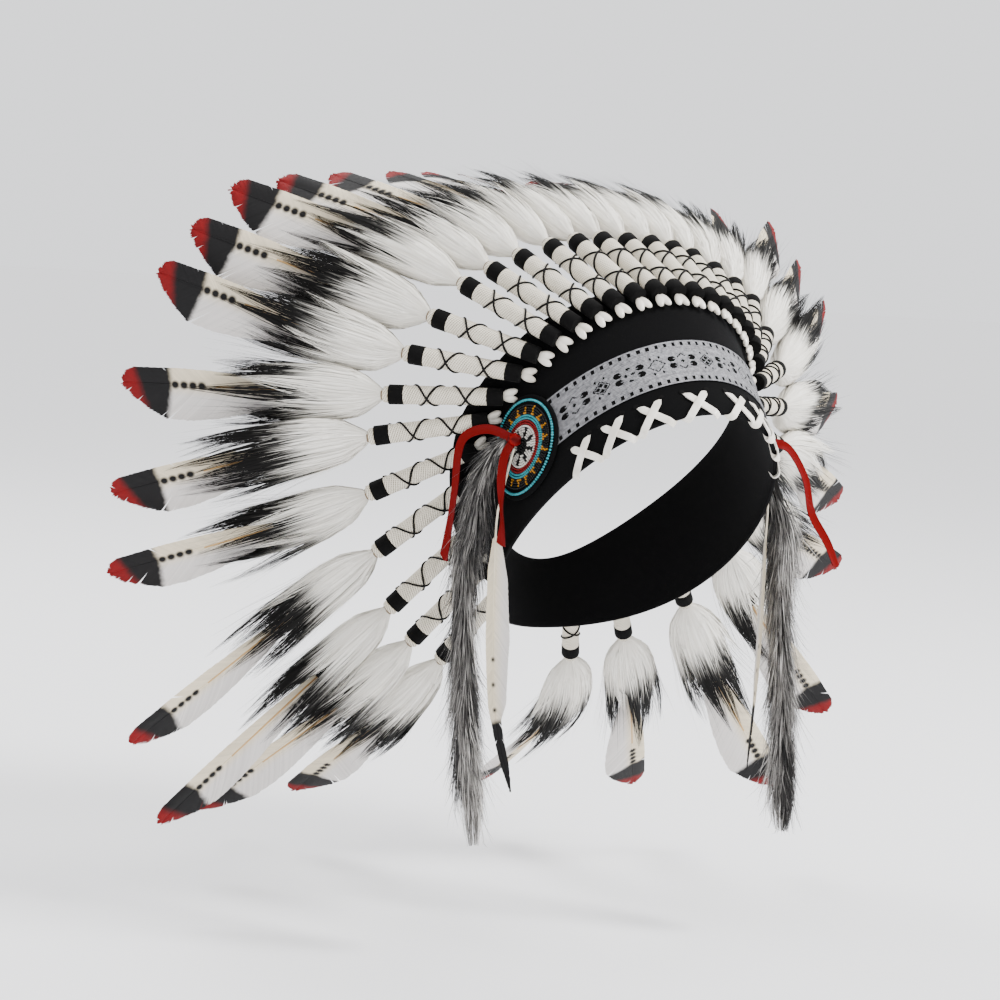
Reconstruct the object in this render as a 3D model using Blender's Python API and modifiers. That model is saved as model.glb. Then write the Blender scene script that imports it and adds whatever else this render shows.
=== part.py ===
import math

import bmesh
import bpy
from mathutils import Vector

# Feathered headdress on a black felt headband. Metres, +Z up. The wearer faces -Y and +X is
# the wearer's left. The origin is the centre of the rim that the head goes into.

# Headband: felt lofted from the rim, round brow, ears and nape, to the seam that holds the quills.
# Both are ellipses that lean back: the tilt is the angle of their long axis above the horizon.
RIM_HALF_WIDTH = 0.0905
RIM_HALF_LENGTH = 0.130
RIM_TILT = 46.5
NAPE_HALF_LENGTH = 0.112
NAPE_TILT = 37.0
SEAM_HALF_WIDTH = 0.092
SEAM_HALF_LENGTH = 0.117
SEAM_TILT = 51.0
SEAM_CENTRE_BACK = 0.0365
SEAM_CENTRE_UP = 0.0655
RIM_NARROWING = 0.10
SEAM_NARROWING = 0.28
FELT_WALL = 0.003
FLAP_DEPTH = 0.027
BAND_STEPS = 54

# Every piece that lies on another keeps this gap to it.
CLEARANCE = 0.0003
QUILL_SEAT = 0.0008

# Feathers: a wrapped quill, a fur plume and a blade, on a thong loop at the seam.
FEATHERS_A_SIDE = 15
LOOP_LENGTH = 0.0055
LOOP_HALF_WIDTH = 0.0040
QUILL_LENGTH = 0.073
QUILL_RADIUS_INNER = 0.0054
QUILL_RADIUS_OUTER = 0.0062
NECK_RADIUS = 0.0030
PATH_STEPS = 80
PLUME_LENGTH = 0.108
PLUME_HALF_WIDTH = 0.0175
PLUME_HALF_DEPTH = 0.0115
PLUME_SIDES = 8
PLUME_GAP = 0.0016
PLUME_WIDEST = 0.6
BLADE_LENGTH = 0.176
BLADE_NARROW_SIDE = 0.0105
BLADE_WIDE_SIDE = 0.0195
BLADE_EDGE = 0.0007
RACHIS_THICKNESS = 0.0022

# How the fan spreads from the crown feather to the nape, in degrees: where the feather stands on
# the seam, how far its quill and then its blade turn out from straight back and up from level,
# the blade's length as a share of BLADE_LENGTH, and how far the blade rolls over its neighbour.
FAN_COLUMNS = ("place", "ring", "quill_out", "quill_up", "blade_out", "blade_up", "length", "roll")
FAN = (
    (0.0000, 0.0, 0.0, 25.5, 0.0, 5.5, 1.00, 0.0),
    (0.0667, 7.8, 4.0, 26.0, 3.0, 9.0, 1.00, 20.0),
    (0.2000, 23.5, 11.5, 27.0, 11.0, 11.0, 1.00, 22.0),
    (0.4000, 46.0, 33.0, 24.0, 43.0, 15.0, 1.00, 16.0),
    (0.5333, 60.5, 47.0, 6.0, 48.0, 16.0, 1.00, 9.0),
    (0.6667, 78.0, 54.0, -11.5, 54.0, -18.0, 1.00, 6.0),
    (0.7333, 87.5, 50.0, -26.5, 64.0, -19.0, 1.02, 8.0),
    (0.8000, 100.0, 52.0, -40.0, 74.0, -41.0, 1.17, 6.0),
    (0.8667, 121.0, 56.0, -47.0, 71.0, -46.0, 1.20, 6.0),
    (1.0000, 163.0, 36.0, -51.0, 4.0, -33.0, 1.20, 6.0),
)

# Plume outline: share of its length, then of its half width and half depth.
PLUME_COLUMNS = ("along", "width", "depth")
PLUME_SECTIONS = (
    (0.02, 0.20, 0.36),
    (0.16, 0.66, 0.80),
    (0.42, 1.00, 1.00),
    (0.72, 0.92, 0.80),
)
LOCK_TIP = (1.00, 0.70, 0.45)
LOCK_NOTCH = (0.80, 0.62, 0.42)
LOCK_ROOT = 0.70

# Thong loop between felt and quill: share of its length, then its low and high side as shares of
# the quill's outer radius, and its width as a share of its half width.
LOOP_COLUMNS = ("along", "low", "high", "width")
LOOP_SECTIONS = (
    (0.00, -1.00, -0.35, 0.70),
    (0.50, -1.00, 0.17, 1.00),
    (1.50, -0.70, 0.26, 0.90),
)

# Blade outline: share of the blade's length from the quill's end, then of each side's width.
BLADE_COLUMNS = ("along", "narrow", "wide")
BLADE_SECTIONS = (
    (0.30, 0.40, 0.40),
    (0.55, 0.52, 0.52),
    (0.66, 0.88, 0.86),
    (0.78, 1.00, 1.00),
    (0.90, 0.92, 0.90),
    (0.97, 0.62, 0.52),
    (1.00, 0.20, 0.16),
)
# Up to here, as a share of the plume's length, the blade is squeezed to the plume, then it widens.
BLADE_FREE_FROM = 0.90
BLADE_FREE_OVER = 0.14

# Woven trim across the brow, out to both rosettes, this far above the rim.
TRIM_ABOVE_RIM = 0.0240
TRIM_WIDTH = 0.0310
TRIM_THICKNESS = 0.0009
TRIM_REACH = 62.0
TRIM_STEPS = 30

# Crossed thongs along the brow edge: where each stands on the rim, in degrees from the middle.
LACING_PLACES = (-52.0, -40.0, -26.0, -8.0, 11.0, 25.0, 38.0, 49.5)
LACING_HALF_SPAN = 0.0078
LACING_GAP_TO_TRIM = 0.0040
THONG_HALF_WIDTH = 0.0026
THONG_THICKNESS = 0.0016
THONG_RISE = 0.4

# Beaded rosettes over the temples, and what hangs from them.
ROSETTE_RING = 71.0
ROSETTE_ABOVE_RIM = 0.0400
ROSETTE_RADIUS = 0.0300
ROSETTE_FELT = 0.0022
BEADWORK_RADIUS = 0.0275
BEADWORK_HEIGHT = 0.0017
KNOT_RADIUS = 0.0052
KNOT_FLATNESS = 0.7
KNOT_ABOVE_CENTRE = 0.004
RIBBON_HALF_WIDTH = 0.0030
RIBBON_THICKNESS = 0.0010
RIBBON_LONG = 0.081
RIBBON_SHORT = 0.067
RIBBON_TURNED = 0.45
TAIL_LENGTH = 0.262
TAIL_HALF_WIDTH = 0.0165
TAIL_HALF_DEPTH = 0.0080
TAIL_ROOT_RADIUS = 0.0028
TAIL_SIDES = 8
DROP_LENGTH = 0.215
DROP_HALF_WIDTH = 0.0115
DROP_THICKNESS = 0.0018
DROP_TURNED = 0.47

# Fur tail in tiers of locks: share of its length where a tier starts, its tip and its half width.
TAIL_COLUMNS = ("start", "tip", "width")
TAIL_TIERS = (
    (0.00, 0.24, 0.62),
    (0.20, 0.46, 0.80),
    (0.41, 0.68, 0.84),
    (0.62, 0.88, 1.00),
    (0.80, 1.00, 0.62),
)
# Within a tier, as shares from its start to its tip and of its half width: where it is widest,
# its lock tips, the notches between them, and the waist that the next tier starts from.
TIER_WIDEST = 0.45
TIER_TIP = (0.96, 0.98)
TIER_NOTCH = (0.72, 0.86)
TIER_WAIST = 0.55
TIER_WAIST_BELOW = 0.05
TAIL_END = (1.00, 0.22)
TAIL_END_NOTCH = (0.90, 0.34)
TAIL_END_ROOT = 0.88

# Plain feather below the knot: share of its length, then of its half width.
DROP_COLUMNS = ("along", "width")
DROP_SECTIONS = (
    (0.00, 0.08),
    (0.22, 0.10),
    (0.30, 0.66),
    (0.50, 1.00),
    (0.68, 0.80),
    (0.76, 0.42),
    (0.90, 0.34),
    (1.00, 0.08),
)

# How each piece falls from the knot, as shares of its length: out from the head, back, and up.
# Ribbons, fur and feathers lie as they were hung, so the wearer's right and left differ.
FALLS = {
    "right_long": ((0.00, 0.00, 0.00), (0.10, 0.22, 0.06), (0.22, 0.36, 0.00), (0.27, 0.39, -0.14),
                   (0.28, 0.39, -0.40), (0.29, 0.41, -0.66), (0.31, 0.45, -1.00)),
    "right_short": ((0.00, 0.00, 0.00), (0.09, 0.00, -0.14), (0.12, -0.01, -0.34), (0.11, -0.01, -0.58),
                    (0.10, -0.05, -0.80), (0.08, -0.01, -1.00)),
    "left_long": ((0.00, 0.00, 0.00), (0.11, -0.01, 0.02), (0.25, -0.02, -0.04), (0.40, -0.05, -0.27),
                  (0.46, -0.09, -0.55), (0.60, -0.15, -0.79), (0.70, -0.17, -1.00)),
    "left_short": ((0.00, 0.00, 0.00), (0.11, 0.17, 0.07), (0.13, 0.35, 0.02), (0.12, 0.41, -0.18),
                   (0.11, 0.42, -0.55), (0.10, 0.43, -1.00)),
    "right_tail": ((0.00, 0.00, 0.00), (0.028, 0.022, -0.050), (0.042, 0.050, -0.134), (0.046, 0.063, -0.24),
                   (0.050, 0.075, -0.32), (0.042, 0.055, -0.65), (0.026, 0.00, -1.00)),
    "left_tail": ((0.00, 0.00, 0.00), (0.028, 0.010, -0.050), (0.050, -0.015, -0.134), (0.066, -0.045, -0.24),
                  (0.075, -0.045, -0.43), (0.095, -0.06, -0.68), (0.115, -0.07, -1.00)),
    "right_drop": ((0.00, 0.00, 0.00), (0.022, 0.014, -0.14), (0.022, 0.034, -0.27), (0.012, 0.00, -0.75),
                   (-0.005, -0.10, -1.00)),
    "left_drop": ((0.00, 0.00, 0.00), (0.022, -0.004, -0.14), (0.022, -0.008, -0.27), (0.022, -0.016, -0.65),
                  (0.014, -0.01, -1.00)),
}

# sRGB colours read as linear values: felt, ivory cloth, plume, silver trim, thong and ribbon.
LOOKS = {
    "black_felt": ((0.010, 0.010, 0.011), 0.95, 0.0),
    "feather": ((0.74, 0.70, 0.63), 0.70, 0.0),
    "silver_trim": ((0.48, 0.48, 0.49), 0.55, 0.2),
    "white_thong": ((0.80, 0.78, 0.72), 0.50, 0.0),
    "glass_beads": ((0.10, 0.38, 0.42), 0.25, 0.0),
    "red_ribbon": ((0.45, 0.010, 0.010), 0.55, 0.0),
    "grey_fur": ((0.34, 0.33, 0.32), 0.90, 0.0),
}


def clear_scene():
    for old in list(bpy.data.objects):
        bpy.data.objects.remove(old, do_unlink=True)


def material(name):
    found = bpy.data.materials.get(name)
    if found:
        return found
    colour, roughness, metallic = LOOKS[name]
    made = bpy.data.materials.new(name)
    made.use_nodes = True
    shader = made.node_tree.nodes["Principled BSDF"]
    shader.inputs["Base Color"].default_value = (*colour, 1.0)
    shader.inputs["Roughness"].default_value = roughness
    shader.inputs["Metallic"].default_value = metallic
    return made


def new_object(name, points, faces, look, collection):
    mesh = bpy.data.meshes.new(name)
    mesh.from_pydata([tuple(p) for p in points], [], faces)
    mesh.validate()
    mesh.materials.append(material(look))
    made = bpy.data.objects.new(name, mesh)
    collection.objects.link(made)
    return made


def mix(a, b, share):
    return a + (b - a) * share


def rows(columns, table):
    """The rows of a table, each read by the names of its columns."""
    return [dict(zip(columns, row)) for row in table]


def smooth(share):
    share = min(1.0, max(0.0, share))
    return share * share * (3.0 - 2.0 * share)


def read_fan(key, value, column):
    """The fan's column at a value of its key column, straight between two rows."""
    k, c = FAN_COLUMNS.index(key), FAN_COLUMNS.index(column)
    for low, high in zip(FAN, FAN[1:]):
        if value <= high[k]:
            break
    share = (value - low[k]) / (high[k] - low[k])
    return mix(low[c], high[c], share)


def direction(out, up):
    """Unit vector turned out from straight back and up from level, on the +X side."""
    o, u = math.radians(out), math.radians(up)
    return Vector((math.sin(o) * math.cos(u), math.cos(o) * math.cos(u), math.sin(u)))


# The headband's surface

def ellipse(ring, half_width, half_length, tilt, back=0.0, up=0.0):
    """Point of a leaning ellipse: 0 degrees at its high front, +X at 90, the nape at 180."""
    r, t = math.radians(ring), math.radians(tilt)
    along = half_length * math.cos(r)
    return Vector((half_width * math.sin(r), back - along * math.cos(t), up + along * math.sin(t)))


def drawn_in(ring, narrowing):
    """The band's loop is egg-shaped: behind the ears it draws in towards the nape."""
    return 1.0 - narrowing * smooth((abs(ring) - 75.0) / 90.0)


def rim(ring):
    towards_nape = smooth((abs(ring) - 60.0) / 120.0)
    half_length = mix(RIM_HALF_LENGTH, NAPE_HALF_LENGTH, towards_nape)
    point = ellipse(ring, RIM_HALF_WIDTH, half_length, mix(RIM_TILT, NAPE_TILT, towards_nape))
    point.x *= drawn_in(ring, RIM_NARROWING)
    return point


def seam(ring):
    point = ellipse(ring, SEAM_HALF_WIDTH, SEAM_HALF_LENGTH, SEAM_TILT, SEAM_CENTRE_BACK, SEAM_CENTRE_UP)
    point.x *= drawn_in(ring, SEAM_NARROWING)
    return point


def band_point(ring, share):
    return rim(ring).lerp(seam(ring), share)


def band_across(ring):
    return (seam(ring) - rim(ring)).normalized()


def band_at(ring, height):
    """Point of the felt this far above the rim."""
    return rim(ring) + band_across(ring) * height


def band_normal(ring, height):
    """Out of the head, square to the felt between rim and seam."""
    along = band_at(ring + 0.5, height) - band_at(ring - 0.5, height)
    return along.cross(band_across(ring)).normalized()


def quill_direction(ring):
    """The quills' direction at any place on the seam. Past the last feather it stays as it is."""
    size = min(abs(ring), FAN[-1][FAN_COLUMNS.index("ring")])
    towards = direction(read_fan("ring", size, "quill_out"), read_fan("ring", size, "quill_up"))
    if abs(ring) > size:
        last = FAN[-1][FAN_COLUMNS.index("ring")]
        towards.x *= (180.0 - abs(ring)) / (180.0 - last)
        towards.normalize()
    return Vector((math.copysign(towards.x, ring), towards.y, towards.z))


def flap_point(ring):
    return seam(ring) + quill_direction(ring) * FLAP_DEPTH


def make_headband(collection):
    """A ring of felt from rim to seam, then on under the quills as a flap."""
    stations = []
    for step in range(BAND_STEPS):
        ring = -180.0 + 360.0 * step / BAND_STEPS
        stations.append((rim(ring), band_point(ring, 0.5), seam(ring), flap_point(ring)))
    points = [p for station in stations for p in station]
    across = len(stations[0])
    faces = []
    for i in range(BAND_STEPS):
        j = (i + 1) % BAND_STEPS
        for k in range(across - 1):
            faces.append((i * across + k, j * across + k, j * across + k + 1, i * across + k + 1))
    band = new_object("headband", points, faces, "black_felt", collection)
    wall = band.modifiers.new("felt", "SOLIDIFY")
    wall.thickness = FELT_WALL
    wall.offset = 0.0
    wall.use_even_offset = True
    return band


def strip_on_band(name, rings, low, high, lift, thickness, look, collection):
    """A flat strip that follows the felt between two heights above the rim."""
    points = []
    for ring in rings:
        for height in (low, high):
            base, out = band_at(ring, height), band_normal(ring, height)
            points.append(base + out * lift)
            points.append(base + out * (lift + thickness))
    faces = [(0, 1, 3, 2)]
    for i in range(len(rings) - 1):
        a, b = 4 * i, 4 * i + 4
        for p, q in ((0, 2), (2, 3), (3, 1), (1, 0)):
            faces.append((a + p, a + q, b + q, b + p))
    last = 4 * (len(rings) - 1)
    faces.append((last, last + 2, last + 3, last + 1))
    return new_object(name, points, faces, look, collection)


# Curves and lofts

def smooth_route(points, steps):
    """Catmull-Rom curve through points, with steps places in each span."""
    ends = [points[0] * 2 - points[1], *points, points[-1] * 2 - points[-2]]
    route = []
    for i in range(len(points) - 1):
        a, b, c, d = ends[i:i + 4]
        for s in range(steps):
            t = s / steps
            route.append(0.5 * ((2 * b) + (c - a) * t + (2 * a - 5 * b + 4 * c - d) * t * t
                                + (3 * b - a - 3 * c + d) * t ** 3))
    return [*route, points[-1]]


def along_route(route, share):
    """Place and heading at a share of a route's length."""
    lengths = [(b - a).length for a, b in zip(route, route[1:])]
    left = share * sum(lengths)
    for i, length in enumerate(lengths):
        if left <= length or i == len(lengths) - 1:
            break
        left -= length
    heading = (route[i + 1] - route[i]).normalized()
    return route[i] + heading * left, heading


def loft(sections, closed_start=True, closed_end=True):
    """Points and faces of a closed skin through rings of equal count, in order along the piece."""
    count = len(sections[0])
    points = [p for section in sections for p in section]
    faces = []
    for i in range(len(sections) - 1):
        a, b = i * count, (i + 1) * count
        for k in range(count):
            n = (k + 1) % count
            faces.append((a + k, a + n, b + n, b + k))
    if closed_start:
        faces.append(tuple(range(count - 1, -1, -1)))
    if closed_end:
        last = (len(sections) - 1) * count
        faces.append(tuple(range(last, last + count)))
    return points, faces


def add_tip(points, faces, ring_start, count, centre):
    """Closes the last ring on one point, so that its locks stay pointed."""
    points.append(centre)
    tip = len(points) - 1
    for k in range(count):
        faces.append((ring_start + k, ring_start + (k + 1) % count, tip))


def outward(made):
    """Faces pointing out, triangles where a side isn't flat."""
    work = bmesh.new()
    work.from_mesh(made.data)
    bmesh.ops.recalc_face_normals(work, faces=work.faces)
    work.to_mesh(made.data)
    work.free()
    return made


def unite(base, others):
    """Joins overlapping solids into base, which becomes one body."""
    for other in others:
        joined = base.modifiers.new("join", "BOOLEAN")
        joined.operation = "UNION"
        joined.solver = "EXACT"
        joined.object = other
    bpy.context.view_layer.update()
    graph = bpy.context.evaluated_depsgraph_get()
    result = bpy.data.meshes.new_from_object(base.evaluated_get(graph))
    base.modifiers.clear()
    base.data = result
    for other in others:
        bpy.data.objects.remove(other, do_unlink=True)
    return base


# Feathers

class FeatherPath:
    """The line that a feather follows, from its loop at the seam to its tip, on the +X side."""

    def __init__(self, number):
        place = number / FEATHERS_A_SIDE
        read = {c: read_fan("place", place, c) for c in FAN_COLUMNS}
        self.ring = read["ring"]
        self.blade_length = BLADE_LENGTH * read["length"]
        self.roll = math.radians(read["roll"])
        self.along_seam = (seam(self.ring + 0.5) - seam(self.ring - 0.5)).normalized()
        self.quill = quill_direction(self.ring)
        self.blade = direction(read["blade_out"], read["blade_up"])
        self.quill_end = LOOP_LENGTH + QUILL_LENGTH
        self.length = self.quill_end + self.blade_length
        lift = self.across(self.quill)[1] * (FELT_WALL / 2 + QUILL_SEAT + QUILL_RADIUS_OUTER)
        start = seam(self.ring) + lift + self.quill * self.stand_off(lift)
        self.step = self.length / PATH_STEPS
        self.places = [start]
        for i in range(PATH_STEPS):
            middle = (i + 0.5) * self.step
            self.places.append(self.places[-1] + self.heading(middle) * self.step)

    def stand_off(self, lift):
        """Where the flap flares out from the band, how far from the fold the quill's end has room."""
        out = band_normal(self.ring, (seam(self.ring) - rim(self.ring)).length)
        flare = self.quill.dot(out)
        if flare <= 0.0:
            return 0.0
        reach = QUILL_RADIUS_OUTER * math.sqrt(1.0 - flare * flare)
        return max(0.0, (FELT_WALL / 2 + QUILL_SEAT + reach - lift.dot(out)) / flare)

    def across(self, heading):
        side = (self.along_seam - heading * self.along_seam.dot(heading)).normalized()
        return side, side.cross(heading).normalized()

    def heading(self, along):
        turned = smooth(2.0 * (along - self.quill_end) / self.blade_length)
        return self.quill.lerp(self.blade, turned).normalized()

    def centre(self, along):
        i = min(len(self.places) - 2, max(0, int(along / self.step)))
        return self.places[i].lerp(self.places[i + 1], along / self.step - i)

    def place(self, along, sideways, raised):
        """World point of a place on the feather: along it, sideways in its plane, and off it."""
        heading = self.heading(along)
        side, normal = self.across(heading)
        roll = self.roll * smooth((along - self.quill_end) / PLUME_LENGTH)
        turned_side = side * math.cos(roll) + normal * math.sin(roll)
        turned_normal = normal * math.cos(roll) - side * math.sin(roll)
        return self.centre(along) + turned_side * sideways + turned_normal * raised


def plume_room(path, neighbours):
    """Half the space at the plume's widest section, less the gap that neighbours keep."""
    along = path.quill_end + PLUME_LENGTH * PLUME_WIDEST
    nearest = min((path.centre(along) - other.centre(along)).length for other in neighbours)
    return min(PLUME_HALF_WIDTH, nearest / 2 - PLUME_GAP)


def oval(path, along, half_width, half_depth, sides, step_along=None):
    """A ring of points across a feather. step_along moves every second point along it."""
    ring = []
    for k in range(sides):
        turn = 2 * math.pi * (k + 0.5) / sides
        odd = step_along is not None and k % 2 == 1
        a, w, d = step_along if odd else (along, half_width, half_depth)
        ring.append(path.place(a, w * math.cos(turn), d * math.sin(turn)))
    return ring


def quill_and_plume(path, room):
    sections = [
        oval(path, LOOP_LENGTH, QUILL_RADIUS_INNER, QUILL_RADIUS_INNER, PLUME_SIDES),
        oval(path, path.quill_end, QUILL_RADIUS_OUTER, QUILL_RADIUS_OUTER, PLUME_SIDES),
        oval(path, path.quill_end + CLEARANCE * 2, NECK_RADIUS, NECK_RADIUS, PLUME_SIDES),
    ]
    for row in rows(PLUME_COLUMNS, PLUME_SECTIONS):
        at = path.quill_end + PLUME_LENGTH * row["along"]
        sections.append(oval(path, at, room * row["width"], PLUME_HALF_DEPTH * row["depth"], PLUME_SIDES))
    tip = (path.quill_end + PLUME_LENGTH * LOCK_TIP[0], room * LOCK_TIP[1], PLUME_HALF_DEPTH * LOCK_TIP[2])
    notch = (path.quill_end + PLUME_LENGTH * LOCK_NOTCH[0], room * LOCK_NOTCH[1],
             PLUME_HALF_DEPTH * LOCK_NOTCH[2])
    sections.append(oval(path, *tip, PLUME_SIDES, step_along=notch))
    points, faces = loft(sections, closed_end=False)
    root = path.place(path.quill_end + PLUME_LENGTH * LOCK_ROOT, 0.0, 0.0)
    add_tip(points, faces, len(points) - PLUME_SIDES, PLUME_SIDES, root)
    return points, faces


def blade(path, room):
    """The flat of the feather, thickest at its rachis. In its plume it is no wider than that."""
    sections = []
    for row in rows(BLADE_COLUMNS, BLADE_SECTIONS):
        at = path.quill_end + path.blade_length * row["along"]
        past = (at - path.quill_end) / PLUME_LENGTH - BLADE_FREE_FROM
        squeeze = mix(min(1.0, room / PLUME_HALF_WIDTH), 1.0, smooth(past / BLADE_FREE_OVER))
        n = -BLADE_NARROW_SIDE * row["narrow"] * squeeze
        w = BLADE_WIDE_SIDE * row["wide"] * squeeze
        edge, ridge = BLADE_EDGE / 2, RACHIS_THICKNESS / 2
        outline = ((n, -edge), (0.0, -ridge), (w, -edge), (w, edge), (0.0, ridge), (n, edge))
        sections.append([path.place(at, s, r) for s, r in outline])
    return loft(sections)


def thong_loop(path):
    """The thong's loop between the quill's end and the felt."""
    sections = []
    for row in rows(LOOP_COLUMNS, LOOP_SECTIONS):
        along = LOOP_LENGTH * row["along"]
        half = LOOP_HALF_WIDTH * row["width"]
        low, high = QUILL_RADIUS_OUTER * row["low"], QUILL_RADIUS_OUTER * row["high"]
        sections.append([path.place(along, s, r) for s, r in
                         ((-half, low), (half, low), (half, high), (-half, high))])
    return loft(sections)


def mirrored(points, faces):
    return [Vector((-p.x, p.y, p.z)) for p in points], [tuple(reversed(f)) for f in faces]


def make_feather(name, path, room, side, collection):
    solids = []
    for label, (points, faces) in (("", quill_and_plume(path, room)), ("_blade", blade(path, room)),
                                   ("_loop", thong_loop(path))):
        if side < 0:
            points, faces = mirrored(points, faces)
        solids.append(outward(new_object(name + label, points, faces, "feather", collection)))
    return unite(solids[0], solids[1:])


def make_feathers(collection):
    """The crown feather, then each pair down to the nape, numbered from the wearer's right."""
    paths = [FeatherPath(i) for i in range(FEATHERS_A_SIDE + 1)]
    for i, path in enumerate(paths):
        neighbours = [paths[j] for j in (i - 1, i + 1) if 0 <= j < len(paths)]
        room = plume_room(path, neighbours)
        for side in (-1, 1) if i else (1,):
            number = FEATHERS_A_SIDE + 1 + side * i
            make_feather(f"feather_{number:02d}", path, room, side, collection)


# Brow edge lacing

def thong_strip(ring, slant):
    """One thong of a cross, from the felt's edge up to its hole, leaning by slant."""
    lift = FELT_WALL / 2 + CLEARANCE
    sections = []
    along = (rim(ring + 0.5) - rim(ring - 0.5)).normalized()
    across = band_across(ring)
    out = band_normal(ring, TRIM_ABOVE_RIM / 2)
    height = TRIM_ABOVE_RIM - LACING_GAP_TO_TRIM - 2 * THONG_HALF_WIDTH
    run = (across * height + along * (2 * LACING_HALF_SPAN * slant)).normalized()
    side = run.cross(out).normalized() * THONG_HALF_WIDTH
    for share, bulge in ((0.0, 0.0), (0.5, 1.0), (1.0, 0.0)):
        middle = rim(ring) + across * (height * share + THONG_HALF_WIDTH)
        middle += along * (LACING_HALF_SPAN * slant * (2 * share - 1))
        low = lift + THONG_THICKNESS * THONG_RISE * bulge
        high = low + THONG_THICKNESS
        sections.append([middle - side + out * low, middle + side + out * low,
                         middle + side + out * high, middle - side + out * high])
    return loft(sections)


def make_lacing(collection):
    for i, ring in enumerate(LACING_PLACES):
        name = f"lacing_{i + 1}"
        solids = []
        for label, slant in (("", 1.0), ("_b", -1.0)):
            points, faces = thong_strip(ring, slant)
            solids.append(outward(new_object(name + label, points, faces, "white_thong", collection)))
        unite(solids[0], solids[1:])


# Rosettes and what hangs from them

class Temple:
    """Where a rosette lies on the felt. side is -1 on the wearer's right and 1 on the left."""

    def __init__(self, side):
        self.side = side
        ring = ROSETTE_RING * side
        self.out = band_normal(ring, ROSETTE_ABOVE_RIM)
        self.felt = band_at(ring, ROSETTE_ABOVE_RIM) + self.out * (FELT_WALL / 2)
        self.up = band_across(ring)
        self.base = self.felt + self.out * (2 * CLEARANCE + TRIM_THICKNESS)
        self.face = self.base + self.out * (ROSETTE_FELT + CLEARANCE + BEADWORK_HEIGHT)

    def name(self, piece):
        return f"{piece}_{'left' if self.side > 0 else 'right'}"

    def fall(self, piece, start, length, steps):
        """The curve that a piece hangs along, from its start by the knot."""
        side = "left" if self.side > 0 else "right"
        points = [start + Vector((out * self.side, back, up)) * length
                  for out, back, up in FALLS[f"{side}_{piece}"]]
        return smooth_route(points, steps)

    def knot(self):
        return self.face + self.out * (CLEARANCE + KNOT_RADIUS * KNOT_FLATNESS) + self.up * KNOT_ABOVE_CENTRE


def soft_disc(name, temple, radius, low, high, look, collection, rings=2, sides=24):
    """A disc that bends with the felt round the head, between two heights above it."""
    ahead, behind = ROSETTE_RING - 0.5, ROSETTE_RING + 0.5
    per_degree = (band_at(behind, ROSETTE_ABOVE_RIM) - band_at(ahead, ROSETTE_ABOVE_RIM)).length

    def place(r, turn, lift):
        ring = (ROSETTE_RING + r * math.cos(turn) / per_degree) * temple.side
        height = ROSETTE_ABOVE_RIM + r * math.sin(turn)
        return band_at(ring, height) + band_normal(ring, height) * (FELT_WALL / 2 + lift)

    points = [place(0.0, 0.0, low), place(0.0, 0.0, high)]
    faces = []
    for level in (low, high):
        for i in range(1, rings + 1):
            for k in range(sides):
                points.append(place(radius * i / rings, 2 * math.pi * k / sides, level))

    def at(level, i, k):
        return 2 + (level * rings + i - 1) * sides + k % sides

    for level in (0, 1):
        for k in range(sides):
            faces.append((level, at(level, 1, k), at(level, 1, k + 1)))
            for i in range(1, rings):
                inner = (at(level, i, k), at(level, i, k + 1))
                outer = (at(level, i + 1, k + 1), at(level, i + 1, k))
                faces.append((*inner, *outer))
    for k in range(sides):
        faces.append((at(0, rings, k), at(1, rings, k), at(1, rings, k + 1), at(0, rings, k + 1)))
    return outward(new_object(name, points, faces, look, collection))


def make_rosette(temple, collection):
    base = CLEARANCE + TRIM_THICKNESS + CLEARANCE
    top = base + ROSETTE_FELT
    soft_disc(temple.name("rosette_felt"), temple, ROSETTE_RADIUS, base, top, "black_felt", collection)
    soft_disc(temple.name("rosette_beadwork"), temple, BEADWORK_RADIUS, top + CLEARANCE,
              top + CLEARANCE + BEADWORK_HEIGHT, "glass_beads", collection)


def ribbon_solid(route, facing):
    """A flat ribbon along a route, its flat side turned to facing."""
    sections = []
    for i, p in enumerate(route):
        ahead = (route[min(i + 1, len(route) - 1)] - route[max(i - 1, 0)]).normalized()
        side = ahead.cross(facing).normalized()
        flat = side.cross(ahead).normalized() * (RIBBON_THICKNESS / 2)
        side *= RIBBON_HALF_WIDTH
        sections.append([p - side - flat, p + side - flat, p + side + flat, p - side + flat])
    return loft(sections)


def make_tie(temple, collection):
    """The ribbon that is knotted through the rosette, with its two tails."""
    name = temple.name("ribbon_tie")
    bpy.ops.mesh.primitive_ico_sphere_add(subdivisions=2, radius=KNOT_RADIUS, location=temple.knot())
    knot = bpy.context.object
    knot.name = name
    for other in knot.users_collection:
        other.objects.unlink(knot)
    collection.objects.link(knot)
    knot.data.materials.append(material("red_ribbon"))
    for v in knot.data.vertices:
        v.co -= temple.out * v.co.dot(temple.out) * (1 - KNOT_FLATNESS)
    solids = []
    for which, length in (("long", RIBBON_LONG), ("short", RIBBON_SHORT)):
        route = temple.fall(which, temple.knot(), length, 3)
        points, faces = ribbon_solid(route, Vector((temple.side, -RIBBON_TURNED, 0.0)))
        solids.append(outward(new_object(f"{name}_{which}", points, faces, "red_ribbon", collection)))
    unite(knot, solids)


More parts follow.
